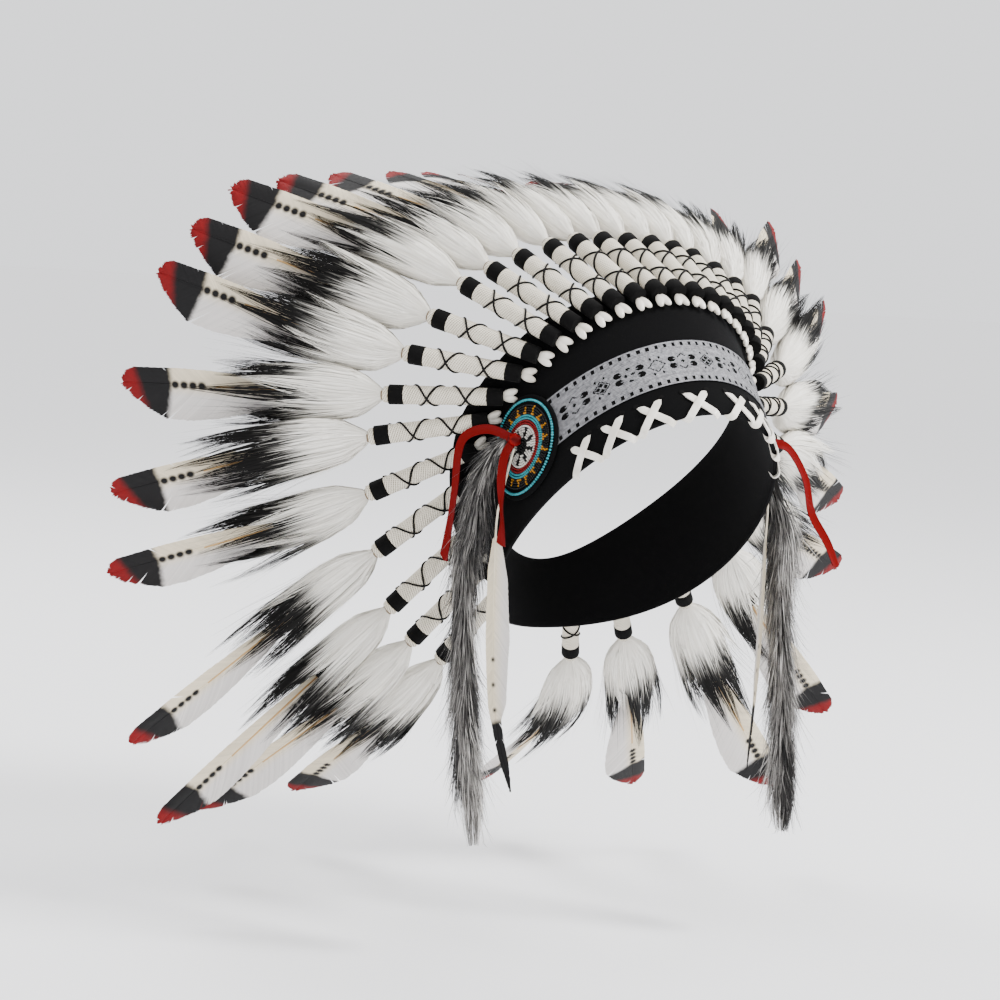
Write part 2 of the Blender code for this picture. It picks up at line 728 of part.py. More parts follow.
def make_fur_tail(temple, collection):
    """A strip of fur hung by its narrow end behind the knot: tiers of locks, each out of the one above."""
    root = temple.knot() + Vector((0.0, KNOT_RADIUS + TAIL_ROOT_RADIUS + 2 * CLEARANCE, TAIL_ROOT_RADIUS / 2))
    route = temple.fall("tail", root, TAIL_LENGTH, 5)
    sections = []

    def ring(along, width, step=None):
        made = []
        for k in range(TAIL_SIDES):
            turn = 2 * math.pi * (k + 0.5) / TAIL_SIDES
            a, w = step if step and k % 2 else (along, width)
            centre, heading = along_route(route, a)
            wide = heading.cross(Vector((1.0, 0.0, 0.0))).normalized()
            deep = wide.cross(heading)
            made.append(centre + deep * (TAIL_HALF_DEPTH * w * math.cos(turn))
                        + wide * (TAIL_HALF_WIDTH * w * math.sin(turn)))
        return made

    sections.append(ring(0.0, TAIL_ROOT_RADIUS / TAIL_HALF_WIDTH))
    tiers = rows(TAIL_COLUMNS, TAIL_TIERS)
    for i, tier in enumerate(tiers):
        start, tip, width = tier["start"], tier["tip"], tier["width"]
        sections.append(ring(mix(start, tip, TIER_WIDEST), width))
        if i < len(tiers) - 1:
            notch = (mix(start, tip, TIER_NOTCH[0]), width * TIER_NOTCH[1])
            sections.append(ring(mix(start, tip, TIER_TIP[0]), width * TIER_TIP[1], notch))
            sections.append(ring(tiers[i + 1]["start"] + TIER_WAIST_BELOW, width * TIER_WAIST))
    sections.append(ring(*TAIL_END, TAIL_END_NOTCH))
    points, faces = loft(sections, closed_end=False)
    add_tip(points, faces, len(points) - TAIL_SIDES, TAIL_SIDES, along_route(route, TAIL_END_ROOT)[0])
    outward(new_object(temple.name("fur_tail"), points, faces, "grey_fur", collection))


def make_drop_feather(temple, collection):
    """A plain long feather hung below the knot, on the inner side of the fur tail."""
    root = temple.knot() - Vector((0.0, 0.0, KNOT_RADIUS + CLEARANCE))
    route = temple.fall("drop", root, DROP_LENGTH, 5)
    sections = []
    for row in rows(DROP_COLUMNS, DROP_SECTIONS):
        middle, heading = along_route(route, row["along"])
        wide = heading.cross(Vector((temple.side, -DROP_TURNED, 0.0))).normalized()
        flat = wide.cross(heading) * (DROP_THICKNESS / 2)
        wide = wide * (DROP_HALF_WIDTH * row["width"])
        sections.append([middle - wide - flat, middle + wide - flat,
                         middle + wide + flat, middle - wide + flat])
    points, faces = loft(sections)
    outward(new_object(temple.name("drop_feather"), points, faces, "feather", collection))


def build():
    clear_scene()
    collection = bpy.data.collections.new("feathered_headdress")
    bpy.context.scene.collection.children.link(collection)
    make_headband(collection)
    rings = [TRIM_REACH * (2 * i / TRIM_STEPS - 1) for i in range(TRIM_STEPS + 1)]
    outward(strip_on_band("brow_trim", rings, TRIM_ABOVE_RIM, TRIM_ABOVE_RIM + TRIM_WIDTH,
                          FELT_WALL / 2 + CLEARANCE, TRIM_THICKNESS, "silver_trim", collection))
    make_lacing(collection)
    make_feathers(collection)
    for side in (-1, 1):
        temple = Temple(side)
        make_rosette(temple, collection)
        make_tie(temple, collection)
        make_fur_tail(temple, collection)
        make_drop_feather(temple, collection)


build()
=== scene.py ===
# Looks of a feathered headdress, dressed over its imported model.
# Metres, +Z up. The wearer faces -Y, and +X is the wearer's left. The origin is the rim's centre.
import math

import bpy
import numpy as np
from mathutils import Matrix, Vector


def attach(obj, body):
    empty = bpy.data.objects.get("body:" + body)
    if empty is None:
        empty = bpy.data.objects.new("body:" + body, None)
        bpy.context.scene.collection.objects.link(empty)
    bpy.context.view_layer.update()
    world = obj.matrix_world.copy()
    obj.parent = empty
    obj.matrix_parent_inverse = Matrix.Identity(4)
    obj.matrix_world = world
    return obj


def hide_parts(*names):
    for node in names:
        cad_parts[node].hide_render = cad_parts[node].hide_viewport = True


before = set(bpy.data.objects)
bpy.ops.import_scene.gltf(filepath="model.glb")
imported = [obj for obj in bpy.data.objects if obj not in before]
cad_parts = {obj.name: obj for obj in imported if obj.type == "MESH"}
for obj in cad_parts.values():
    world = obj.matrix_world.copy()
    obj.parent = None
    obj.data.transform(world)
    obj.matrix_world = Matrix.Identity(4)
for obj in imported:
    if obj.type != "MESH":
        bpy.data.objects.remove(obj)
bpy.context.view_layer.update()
mm = 0.001
print("frame loaded:", len(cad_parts), "nodes")


# Camera

camera = {
    "lookAt": (0.0, 0.010, 0.040), "yaw": -30.5, "elevation": 5.5, "roll": 3.7, "nearest": 0.05,
    "distance": 1.6, "aside": -0.0812, "above": -0.0157, "lens": 88.23,
}


def setCamera():
    yaw, lift, roll = (math.radians(camera[k]) for k in ("yaw", "elevation", "roll"))
    back = Vector((math.sin(yaw) * math.cos(lift), -math.cos(yaw) * math.cos(lift), math.sin(lift)))
    right = Vector((math.cos(yaw), math.sin(yaw), 0.0))
    up = right.cross(-back)
    place = Vector(camera["lookAt"]) + back * camera["distance"]
    place += right * camera["aside"] + up * camera["above"]
    axes = (right * math.cos(roll) + up * math.sin(roll), up * math.cos(roll) - right * math.sin(roll), back)
    bpy.ops.object.camera_add()
    made = bpy.context.object
    made.matrix_world = Matrix.Translation(place) @ Matrix(axes).transposed().to_4x4()
    made.data.lens = camera["lens"]
    made.data.clip_start = camera["nearest"]
    bpy.context.scene.camera = made


setCamera()


# Materials

def linear(hexCode):
    shares = [int(hexCode[i:i + 2], 16) / 255 for i in (1, 3, 5)]
    return tuple(c / 12.92 if c <= 0.04045 else ((c + 0.055) / 1.055) ** 2.4 for c in shares) + (1.0,)


def addNode(owner, kind, settings):  # a socket among the settings is linked, any other value is set
    tree = owner.node_tree
    node = tree.nodes.new("ShaderNode" + kind)
    for key, value in settings.items():
        if isinstance(value, bpy.types.NodeSocket):
            tree.links.new(value, node.inputs[key])
        elif isinstance(key, int) or key in node.inputs:
            node.inputs[key].default_value = value
        else:
            setattr(node, key, value)
    return node


def newMaterial(name, settings):
    made = bpy.data.materials.new(name)
    made.use_nodes = True
    made.node_tree.nodes.clear()
    shader = addNode(made, "BsdfPrincipled", settings)
    addNode(made, "OutputMaterial", {"Surface": shader.outputs[0]})
    return made


def placeIn(made, space):  # the object's own metres, or a UV map in millimetres
    if space == "Object":
        return addNode(made, "TexCoord", {}).outputs["Object"]
    return addNode(made, "UVMap", {"uv_map": space}).outputs["UV"]


def valueOf(made, name):
    return addNode(made, "Attribute", {"attribute_name": name}).outputs["Fac"]


def noise(made, place, scale, detail, **more):
    settings = {"Vector": place, "Scale": scale, "Detail": detail, **more}
    return addNode(made, "TexNoise", settings).outputs["Fac"]


def lines(made, place, way, pitch, distortion, **more):
    # a wave of scale 1 repeats every 0.314 mm of a UV map
    settings = {"bands_direction": way, "Vector": place, "Scale": 0.314 / pitch, "Distortion": distortion}
    return addNode(made, "TexWave", {**settings, **more}).outputs["Fac"]


def ramped(made, share, *stops):  # colours at their places along a ramp
    node = addNode(made, "ValToRGB", {"Fac": share})
    elements = node.color_ramp.elements
    for i, (place, colour) in enumerate(stops):
        element = elements[i] if i < 2 else elements.new(place)
        element.position = place
        element.color = linear(colour) if isinstance(colour, str) else colour
    return node.outputs["Color"]


def maths(made, operation, *terms):
    return addNode(made, "Math", {"operation": operation, **dict(enumerate(terms))}).outputs[0]


def mixed(made, share, first, second, **more):
    return addNode(made, "Mix", {"data_type": "RGBA", **more, 0: share, 6: first, 7: second}).outputs[2]


def stepped(made, value, low, high):
    settings = {"interpolation_type": "SMOOTHSTEP", "Value": value, "From Min": low, "From Max": high}
    return addNode(made, "MapRange", settings).outputs[0]


def surfaced(made, colour, height=None, strength=0.0, depth=0.0):  # its colour, and a relief as deep as this
    tree = made.node_tree
    shader = tree.nodes["Principled BSDF"]
    tree.links.new(colour, shader.inputs["Base Color"])
    if height:
        bump = addNode(made, "Bump", {"Height": height, "Strength": strength, "Distance": depth})
        tree.links.new(bump.outputs["Normal"], shader.inputs["Normal"])
    return made


def woolFelt():  # pressed black wool: no threads, a matt nap of short fibres that catches light at its rim
    made = newMaterial("woolFelt", {
        "Roughness": 1.0, "Specular IOR Level": 0.1, "Sheen Weight": 0.05, "Sheen Roughness": 0.4,
        "Sheen Tint": linear("#8C8C92")})
    fibres = noise(made, placeIn(made, "Object"), 1 / (0.9 * mm), 4.0, Distortion=1.5)
    return surfaced(made, ramped(made, fibres, (0.0, "#020202"), (1.0, "#0B0B0C")), fibres, 0.5, 0.25 * mm)


def cottonTape():  # woven ivory tape wound round the quill: fine slanting ribs and a dry, even surface
    made = newMaterial("cottonTape", {
        "Roughness": 0.82, "Specular IOR Level": 0.3, "Sheen Weight": 0.12, "Sheen Roughness": 0.4})
    place = placeIn(made, "UVMap")
    slant = addNode(made, "Mapping", {"Vector": place, "Rotation": (0.0, 0.0, math.radians(24))}).outputs[0]
    ribs = lines(made, slant, "Y", 1.5, 0.5, Detail=1.0)
    weave = maths(made, "MULTIPLY_ADD", lines(made, slant, "X", 1.3, 0.4), 0.45, ribs)
    shade = maths(made, "MULTIPLY_ADD", noise(made, place, 0.12, 3.0), 0.6, weave)
    return surfaced(made, ramped(made, shade, (0.30, "#7F7461"), (0.95, "#E9E1CF")), weave, 1.0, 0.4 * mm)


def dyedThreadAndShade(name, dark, light, roughness):  # twisted cotton thread: slanting plies along it, which also make the brown ring of painted shade at a plume's neck
    made = newMaterial(name, {"Roughness": roughness, "Specular IOR Level": 0.12})
    plies = noise(made, placeIn(made, "Object"), 1 / (1.1 * mm), 2.0)
    return surfaced(made, ramped(made, plies, (0.0, dark), (1.0, light)), plies, 0.4, 0.2 * mm)


def coatedLeather(name, dark, light, roughness, coat):  # white finished hide: fine pores under its finish
    made = newMaterial(name, {"Roughness": roughness, "Coat Weight": coat, "Coat Roughness": 0.12})
    place = placeIn(made, "Object")
    grain = addNode(made, "TexVoronoi", {"feature": "SMOOTH_F1", "Vector": place, "Scale": 1 / (0.8 * mm)})
    cloud = ramped(made, noise(made, place, 1 / (9 * mm), 3.0), (0.3, dark), (0.7, light))
    return surfaced(made, cloud, grain.outputs["Distance"], 0.25, 0.15 * mm)


def foxFur():  # long white guard hair, dyed black from the dye line on: silky, each hair its own tone, darker near the neck with painted shade
    made = newMaterial("foxFur", {"Roughness": 0.6, "Specular IOR Level": 0.12})
    tone = valueOf(made, "tone")
    white = ramped(made, tone, (0.0, "#BDB5A4"), (1.0, "#FBF8F0"))
    black = ramped(made, tone, (0.0, "#020202"), (1.0, "#121110"))
    return surfaced(made, mixed(made, valueOf(made, "dye"), white, black))


def agoutiFur():  # grey tail hair, banded black and white along each hair, which makes it look frosted
    made = newMaterial("agoutiFur", {
        "Roughness": 0.6, "Specular IOR Level": 0.3, "Sheen Weight": 0.12, "Sheen Roughness": 0.3})
    bands = ramped(made, valueOf(made, "dye"), (0.0, "#2B2827"), (0.30, "#4E4A48"), (0.58, "#E2DED8"),
                   (0.78, "#A9A49F"), (0.92, "#131212"))
    each = ramped(made, valueOf(made, "tone"), (0.0, "#2C2A2A"), (1.0, "#FFFFFF"))
    return surfaced(made, mixed(made, 1.0, bands, each, blend_type="MULTIPLY"))


def vaneKeratin(name, look):  # barbs hooked into a sheet: fine slanting lines, dull satin, sprayed zones
    made = newMaterial(name, {"Roughness": 0.65, "Specular IOR Level": 0.2})
    # the paint map's x runs from the shaft, positive on the wide side, and its y back from the tip
    parts = addNode(made, "SeparateXYZ", {0: placeIn(made, "paintMap")})
    across, fromTip = parts.outputs[0], parts.outputs[1]
    drift = noise(made, placeIn(made, "Object"), 1 / (5 * mm), 4.0, Roughness=0.65)
    smudge = maths(made, "MULTIPLY_ADD", drift, look["smudge"], -look["smudge"] / 2)
    ragged = maths(made, "ADD", fromTip, smudge)
    blackLine = maths(made, "MULTIPLY_ADD", maths(made, "ABSOLUTE", across), look["blackSlant"], ragged)
    redLine = maths(made, "MULTIPLY_ADD", across, -look["redSlant"], ragged)
    black = stepped(made, blackLine, look["black"] / mm + 3.0, look["black"] / mm - 2.0)
    red = stepped(made, redLine, look["red"] / mm + 3.8, look["red"] / mm - 3.4)
    pitch = look["dotPitch"] / mm
    along = maths(made, "SUBTRACT", fromTip, (look["black"] + look["dotGap"]) / mm)
    offCentre = maths(made, "SUBTRACT", pitch / 2, maths(made, "PINGPONG", along, pitch / 2))
    square = maths(made, "MULTIPLY", across, across)
    reach = maths(made, "SQRT", maths(made, "MULTIPLY_ADD", offCentre, offCentre, square))
    dot = stepped(made, reach, look["dot"] / mm + 1.5, look["dot"] / mm - 1.0)
    after = maths(made, "GREATER_THAN", along, 0.0)
    before = maths(made, "LESS_THAN", along, look["dots"] * pitch)
    dots = maths(made, "MULTIPLY", maths(made, "MULTIPLY", after, before), dot)
    warm = stepped(made, across, -1.0, 9.0)
    vane = mixed(made, warm, linear(look["cream"]), linear(look["greyWhite"]))
    charred = mixed(made, maths(made, "MAXIMUM", black, dots), vane, linear(look["charcoal"]))
    tipped = mixed(made, red, charred, linear(look["scarlet"]))
    each = addNode(made, "MapRange", {"Value": valueOf(made, "tone"), "To Min": 0.84, "To Max": 1.08})
    toned = addNode(made, "VectorMath", {"operation": "SCALE", 0: tipped, "Scale": each.outputs[0]})
    barbs = lines(made, placeIn(made, "UVMap"), "Y", 0.6, 1.2, Detail=2.0)
    return surfaced(made, toned.outputs["Vector"], barbs, 0.4, 0.15 * mm)


def shaftKeratin(name, near, far):  # the feather's hollow shaft: smooth and waxy, paler towards the tip
    made = newMaterial(name, {"Roughness": 0.34, "Coat Weight": 0.15})
    grain = noise(made, placeIn(made, "Object"), 1 / (1.5 * mm), 2.0)
    return surfaced(made, ramped(made, valueOf(made, "tone"), (0.0, near), (1.0, far)), grain, 0.15, 0.1 * mm)


def jacquard(name, dark, light, metallic, roughness):  # metallised thread over cotton, floats 0.5 mm wide
    made = newMaterial(name, {
        "Roughness": roughness, "Metallic": metallic, "Specular IOR Level": 0.6 * metallic + 0.08})
    place = placeIn(made, "UVMap")
    weft = lines(made, place, "X", 0.75, 0.8, **{"Detail": 1.0, "Detail Scale": 2.0})
    weave = maths(made, "MULTIPLY_ADD", lines(made, place, "Y", 1.1, 0.5), 0.4, weft)
    shade = maths(made, "MULTIPLY_ADD", weave, 0.35, noise(made, place, 0.4, 5.0, Roughness=0.75))
    return surfaced(made, ramped(made, shade, (0.50, dark), (1.0, light)), weave, 0.6, 0.2 * mm)


def seedGlass(name, hexCode):  # small opaque glass beads: a hard, wet looking spot of light on each
    made = newMaterial(name, {"Roughness": 0.2, "IOR": 1.52, "Specular IOR Level": 0.3})
    full = linear(hexCode)
    dim = tuple(c * 0.7 for c in full[:3]) + (1.0,)
    batch = noise(made, placeIn(made, "Object"), 1 / (2.5 * mm), 1.0)
    return surfaced(made, ramped(made, batch, (0.3, dim), (0.7, full)))


def redSatin():  # polyester satin ribbon: smooth warp floats along it, so light runs down its length
    made = newMaterial("redSatin", {"Roughness": 0.45, "Anisotropic": 0.5, "Specular IOR Level": 0.08})
    floats = lines(made, placeIn(made, "UVMap"), "X", 0.5, 0.6)
    return surfaced(made, ramped(made, floats, (0.0, "#450001"), (1.0, "#780003")), floats, 0.25, 0.1 * mm)


felt = woolFelt()
tape = cottonTape()
blackTape = dyedThreadAndShade("blackCottonTape", "#020202", "#0A0909", 0.9)
lashing = dyedThreadAndShade("waxedThread", "#020202", "#0D0C0B", 0.55)
# painted shade: a brown ring on the neck past the cuff, where the groove between cuff and plume lies in shade
neckShade = dyedThreadAndShade("paintedNeckShade", "#5E4D3D", "#86755F", 0.8)
glossThong = coatedLeather("patentThong", "#CFC7B8", "#F4EFE4", 0.3, 0.6)
flatThong = coatedLeather("whiteThong", "#D5CFC2", "#F3EFE6", 0.5, 0.1)
plumeFur = foxFur()
tailFur = agoutiFur()
shaft = shaftKeratin("shaftKeratin", "#B07F3C", "#C9A56A")
silver = jacquard("silverJacquard", "#1E1D1F", "#A2A2A6", 0.4, 0.5)
blackWeft = jacquard("blackWeft", "#020202", "#080808", 0.0, 0.9)
satin = redSatin()
beadColours = {
    "turquoise": "#31939D", "black": "#030303", "gold": "#B97A12", "red": "#7C0407", "white": "#DCD8D0",
}
beadGlass = {name: seedGlass(name + "Glass", code) for name, code in beadColours.items()}
print("materials ready")


# Making and finishing pieces

def freshStart():  # nothing selected, object mode
    if bpy.context.object and bpy.context.object.mode != "OBJECT":
        bpy.ops.object.mode_set(mode="OBJECT")
    bpy.ops.object.select_all(action="DESELECT")


def choose(*pieces):
    freshStart()
    for piece in pieces:
        piece.select_set(True)
    bpy.context.view_layer.objects.active = pieces[0]


def named(piece, name):
    piece.name = piece.data.name = name
    return piece


def linked(piece):
    bpy.context.scene.collection.objects.link(piece)
    return piece


def gridOver(name, across, along, place, size):  # a grid laid over place(u, v), its UV map in millimetres
    freshStart()
    bpy.ops.mesh.primitive_grid_add(x_subdivisions=across, y_subdivisions=along, size=1.0)
    made = bpy.context.object
    made.name = name
    for layer in made.data.uv_layers.active.data:
        layer.uv = (layer.uv[0] * size[0] / mm, layer.uv[1] * size[1] / mm)
    for vertex in made.data.vertices:
        vertex.co = place(vertex.co.x + 0.5, vertex.co.y + 0.5)
    return made


def ball(segments, rings, radius=1.0):
    freshStart()
    bpy.ops.mesh.primitive_uv_sphere_add(segments=segments, ring_count=rings, radius=radius)
    return bpy.context.object


def facedOutward(piece, weld=0.0):  # normals point out of the closed shape, its seam welded first
    choose(piece)
    bpy.ops.object.mode_set(mode="EDIT")
    bpy.ops.mesh.select_all(action="SELECT")
    if weld:
        bpy.ops.mesh.remove_doubles(threshold=weld)
    bpy.ops.mesh.normals_make_consistent(inside=False)
    bpy.ops.object.mode_set(mode="OBJECT")
    return piece


def drawnOut(name, stations, sides):  # a round piece extruded along +Y through stations of (place, radius)
    freshStart()
    place, radius = stations[0]
    bpy.ops.mesh.primitive_circle_add(vertices=sides, radius=radius, fill_type="NGON",
                                      location=(0, place, 0), rotation=(math.pi / 2, 0, 0))
    made = bpy.context.object
    made.name = name
    bpy.ops.object.transform_apply(location=True, rotation=True, scale=True)
    bpy.ops.object.mode_set(mode="EDIT")
    bpy.ops.mesh.select_all(action="SELECT")
    for (a, wide), (b, wideNext) in zip(stations, stations[1:]):
        bpy.ops.mesh.extrude_region_move(TRANSFORM_OT_translate={"value": (0, b - a, 0)})
        bpy.ops.transform.resize(value=(wideNext / wide, 1, wideNext / wide), center_override=(0, b, 0))
    return facedOutward(made)


def tubeAlong(name, points, radius, sides=6):  # a round thread along points
    curve = bpy.data.curves.new(name, "CURVE")
    curve.dimensions = "3D"
    curve.bevel_depth = radius
    curve.bevel_resolution = sides // 2 - 2
    curve.use_fill_caps = True
    spline = curve.splines.new("POLY")
    spline.points.add(len(points) - 1)
    for target, p in zip(spline.points, points):
        target.co = (*p, 1.0)
    choose(linked(bpy.data.objects.new(name, curve)))
    bpy.ops.object.convert(target="MESH")
    return bpy.context.object


def joined(name, pieces):  # several meshes as one, each keeping its materials
    choose(*pieces)
    bpy.ops.object.join()
    return named(bpy.context.object, name)


def modify(piece, kind, **settings):
    modifier = piece.modifiers.new(kind.lower(), kind)
    for key, value in settings.items():
        setattr(modifier, key, value)
    choose(piece)
    bpy.ops.object.modifier_apply(modifier=modifier.name)


def thicken(piece, thickness, rounding=0.0, **more):  # a sheet gets its thickness and rounded edges
    modify(piece, "SOLIDIFY", thickness=thickness, **{"offset": 0.0, **more})
    if rounding:
        modify(piece, "BEVEL", width=rounding, segments=2, limit_method="ANGLE")


def coordinates(mesh):
    flat = np.zeros(len(mesh.vertices) * 3)
    mesh.vertices.foreach_get("co", flat)
    return flat.reshape(-1, 3)


def meshOf(name, points, faces):  # a mesh from arrays, for hair, barbs and beads
    mesh = bpy.data.meshes.new(name)
    mesh.from_pydata(points.tolist(), [], faces)
    mesh.shade_smooth()
    return linked(bpy.data.objects.new(name, mesh))


def setAttribute(piece, name, values):
    layer = piece.data.attributes.new(name, "FLOAT", "POINT")
    layer.data.foreach_set("value", values.astype(np.float32))


def paintWith(piece, *materials, index=0):
    piece.data.materials.clear()
    for material in materials:
        piece.data.materials.append(material)
    for face in piece.data.polygons if index else ():
        face.material_index = index


def shadeSmooth(piece, angle):
    choose(piece)
    bpy.ops.object.shade_smooth_by_angle(angle=math.radians(angle))
    return piece


def finished(piece, slot, node=None, paint=None, smooth=0):  # rides the one body and stands for its CAD node
    if paint:
        paintWith(piece, paint)
    if smooth:
        shadeSmooth(piece, smooth)
    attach(piece, "root")
    if node:
        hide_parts(node)


def mix(a, b, share):
    return a + (b - a) * share


def smoothStep(share):
    share = np.clip(share, 0.0, 1.0)
    return share * share * (3.0 - 2.0 * share)


# The felt's surface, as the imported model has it: rim, seam and what lies between

band = {
    "rimHalfWidth": 0.0905, "rimHalfLength": 0.130, "rimTilt": 46.5, "rimNarrowing": 0.10,
    "napeHalfLength": 0.112, "napeTilt": 37.0,
    "seamHalfWidth": 0.092, "seamHalfLength": 0.117, "seamTilt": 51.0, "seamNarrowing": 0.28,
    "seamBack": 0.0365, "seamUp": 0.0655, "wall": 0.003, "flap": 0.027, "edge": 0.7 * mm,
    "cutWidth": 0.104, "cutLength": 0.68,
}


def leaningOval(ring, halfWidth, halfLength, tilt, narrowing, back=0.0, up=0.0):
    turn, lean = math.radians(ring), math.radians(tilt)
    along = halfLength * math.cos(turn)
    point = Vector((halfWidth * math.sin(turn), back - along * math.cos(lean), up + along * math.sin(lean)))
    point.x *= 1.0 - narrowing * float(smoothStep((abs(ring) - 75.0) / 90.0))
    return point


def rimPoint(ring):
    towardsNape = float(smoothStep((abs(ring) - 60.0) / 120.0))
    length = mix(band["rimHalfLength"], band["napeHalfLength"], towardsNape)
    tilt = mix(band["rimTilt"], band["napeTilt"], towardsNape)
    return leaningOval(ring, band["rimHalfWidth"], length, tilt, band["rimNarrowing"])


def seamPoint(ring):
    return leaningOval(ring, band["seamHalfWidth"], band["seamHalfLength"], band["seamTilt"],
                       band["seamNarrowing"], band["seamBack"], band["seamUp"])


def bandUp(ring):
    return (seamPoint(ring) - rimPoint(ring)).normalized()


def bandAt(ring, height):
    return rimPoint(ring) + bandUp(ring) * height


def perDegree(pointAt, ring, *more):  # how far a line of points moves in one degree
    return pointAt(ring + 0.5, *more) - pointAt(ring - 0.5, *more)


def bandOut(ring, height):
    return perDegree(bandAt, ring, height).cross(bandUp(ring)).normalized()


# The fan of feathers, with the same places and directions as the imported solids

feather = {
    "aSide": 15, "loop": 0.0055, "quill": 0.073, "radiusInner": 0.0054, "radiusOuter": 0.0062,
    "plume": 0.108, "plumeHalfWidth": 0.0175, "plumeHalfDepth": 0.0115, "plumeGap": 0.0016,
    "plumeWidest": 0.6, "plumeFuller": 1.12, "blade": 0.176, "seat": 0.0008,
    "steps": 80, "runOn": 0.012,  # the line runs on straight before its start and past its end
}
fanColumns = ("place", "ring", "quillOut", "quillUp", "bladeOut", "bladeUp", "length", "roll")
fan = (
    (0.0000, 0.0, 0.0, 25.5, 0.0, 5.5, 1.00, 0.0),
    (0.0667, 7.8, 4.0, 26.0, 3.0, 9.0, 1.00, 20.0),
    (0.2000, 23.5, 11.5, 27.0, 11.0, 11.0, 1.00, 22.0),
    (0.4000, 46.0, 33.0, 24.0, 43.0, 15.0, 1.00, 16.0),
    (0.5333, 60.5, 47.0, 6.0, 48.0, 16.0, 1.00, 9.0),
    (0.6667, 78.0, 54.0, -11.5, 54.0, -18.0, 1.00, 6.0),
    (0.7333, 87.5, 50.0, -26.5, 64.0, -19.0, 1.02, 8.0),
    (0.8000, 100.0, 52.0, -40.0, 74.0, -41.0, 1.17, 6.0),
    (0.8667, 121.0, 56.0, -47.0, 71.0, -46.0, 1.20, 6.0),
    (1.0000, 163.0, 36.0, -51.0, 4.0, -33.0, 1.20, 6.0),
)


def readFan(key, value, *columns):
    k = fanColumns.index(key)
    return [float(np.interp(value, [row[k] for row in fan], [row[fanColumns.index(c)] for row in fan]))
            for c in columns]


def directionOf(out, up):
    o, u = math.radians(out), math.radians(up)
    return Vector((math.sin(o) * math.cos(u), math.cos(o) * math.cos(u), math.sin(u)))


def quillDirection(ring):
    lastRing = fan[-1][1]
    size = min(abs(ring), lastRing)
    towards = directionOf(*readFan("ring", size, "quillOut", "quillUp"))
    if abs(ring) > size:
        towards.x *= (180.0 - abs(ring)) / (180.0 - lastRing)
        towards.normalize()
    return Vector((math.copysign(towards.x, ring), towards.y, towards.z))


def featherLine(number):  # centres, sideways and outward directions along one feather, on the +X side
    ring, share, roll, *bladeWay = readFan("place", number / feather["aSide"],
                                           "ring", "length", "roll", "bladeOut", "bladeUp")
    bladeLength = feather["blade"] * share
    alongSeam = perDegree(seamPoint, ring).normalized()
    quill, blade = quillDirection(ring), directionOf(*bladeWay)
    quillEnd = feather["loop"] + feather["quill"]
    length = quillEnd + bladeLength

    def headingAt(along):
        return quill.lerp(blade, float(smoothStep(2.0 * (along - quillEnd) / bladeLength))).normalized()

    def acrossAt(heading):
        side = (alongSeam - heading * alongSeam.dot(heading)).normalized()
        return side, side.cross(heading).normalized()

    seat = band["wall"] / 2 + feather["seat"]
    lift = acrossAt(quill)[1] * (seat + feather["radiusOuter"])
    out = bandOut(ring, (seamPoint(ring) - rimPoint(ring)).length)
    flare, standOff = quill.dot(out), 0.0
    if flare > 0.0:
        reach = feather["radiusOuter"] * math.sqrt(1.0 - flare * flare)
        standOff = max(0.0, (seat + reach - lift.dot(out)) / flare)
    steps, before = feather["steps"], feather["runOn"]
    step = length / steps
    centres = [seamPoint(ring) + lift + quill * standOff]
    for i in range(steps):
        centres.append(centres[-1] + headingAt((i + 0.5) * step) * step)
    centres = [centres[0] - quill * before, *centres, centres[-1] + headingAt(length) * before]
    alongs = [-before, *(i * step for i in range(steps + 1)), length + before]
    sides, outs = [], []
    for along in alongs:
        side, normal = acrossAt(headingAt(along))
        turn = math.radians(roll) * float(smoothStep((along - quillEnd) / feather["plume"]))
        sides.append(side * math.cos(turn) + normal * math.sin(turn))
        outs.append(normal * math.cos(turn) - side * math.sin(turn))
    return {"alongs": np.array(alongs), "centres": np.array(centres), "sides": np.array(sides),
            "outs": np.array(outs), "quillEnd": quillEnd, "bladeLength": bladeLength}


def readLine(line, y, *keys):
    return [np.stack([np.interp(y, line["alongs"], line[k][:, axis]) for axis in range(3)], axis=1)
            for k in keys]


def bentAlong(points, line, mirror=1):  # points modelled straight along +Y, laid along a line
    centre, side, out = readLine(line, points[:, 1], "centres", "sides", "outs")
    made = centre + side * points[:, :1] + out * points[:, 2:]
    made[:, 0] *= mirror
    return made


def layAlong(piece, line, mirror=1):
    points = bentAlong(coordinates(piece.data), line, mirror)
    piece.data.vertices.foreach_set("co", points.astype(np.float32).ravel())
    piece.data.update()
    if mirror < 0:
        piece.data.flip_normals()
    return piece


def copyOf(piece, name):
    made = piece.copy()
    made.data = piece.data.copy()
    return linked(named(made, name))


# Wrapped quill: tape, two black bands, a cuff, crossed thread and the thong's loop, straight along +Y

quillLooks = {
    "sides": 20, "bandLength": 9.8 * mm, "bandProud": 0.25 * mm, "bandEdge": 0.4 * mm,
    "cuffLength": 4.2 * mm, "cuffRadius": 5.2 * mm, "neckRadius": 3.6 * mm,
    "threadRadius": 0.72 * mm, "crossings": 25.0 * mm, "firstCrossing": 15.4 * mm, "threadSteps": 60,
}
quillMaterials = (tape, blackTape, lashing, glossThong, neckShade)
quillStart, quillEnd = feather["loop"], feather["loop"] + feather["quill"]


def quillRadius(y):
    share = (y - quillStart) / (quillEnd - quillStart)
    return mix(feather["radiusInner"], feather["radiusOuter"], share)


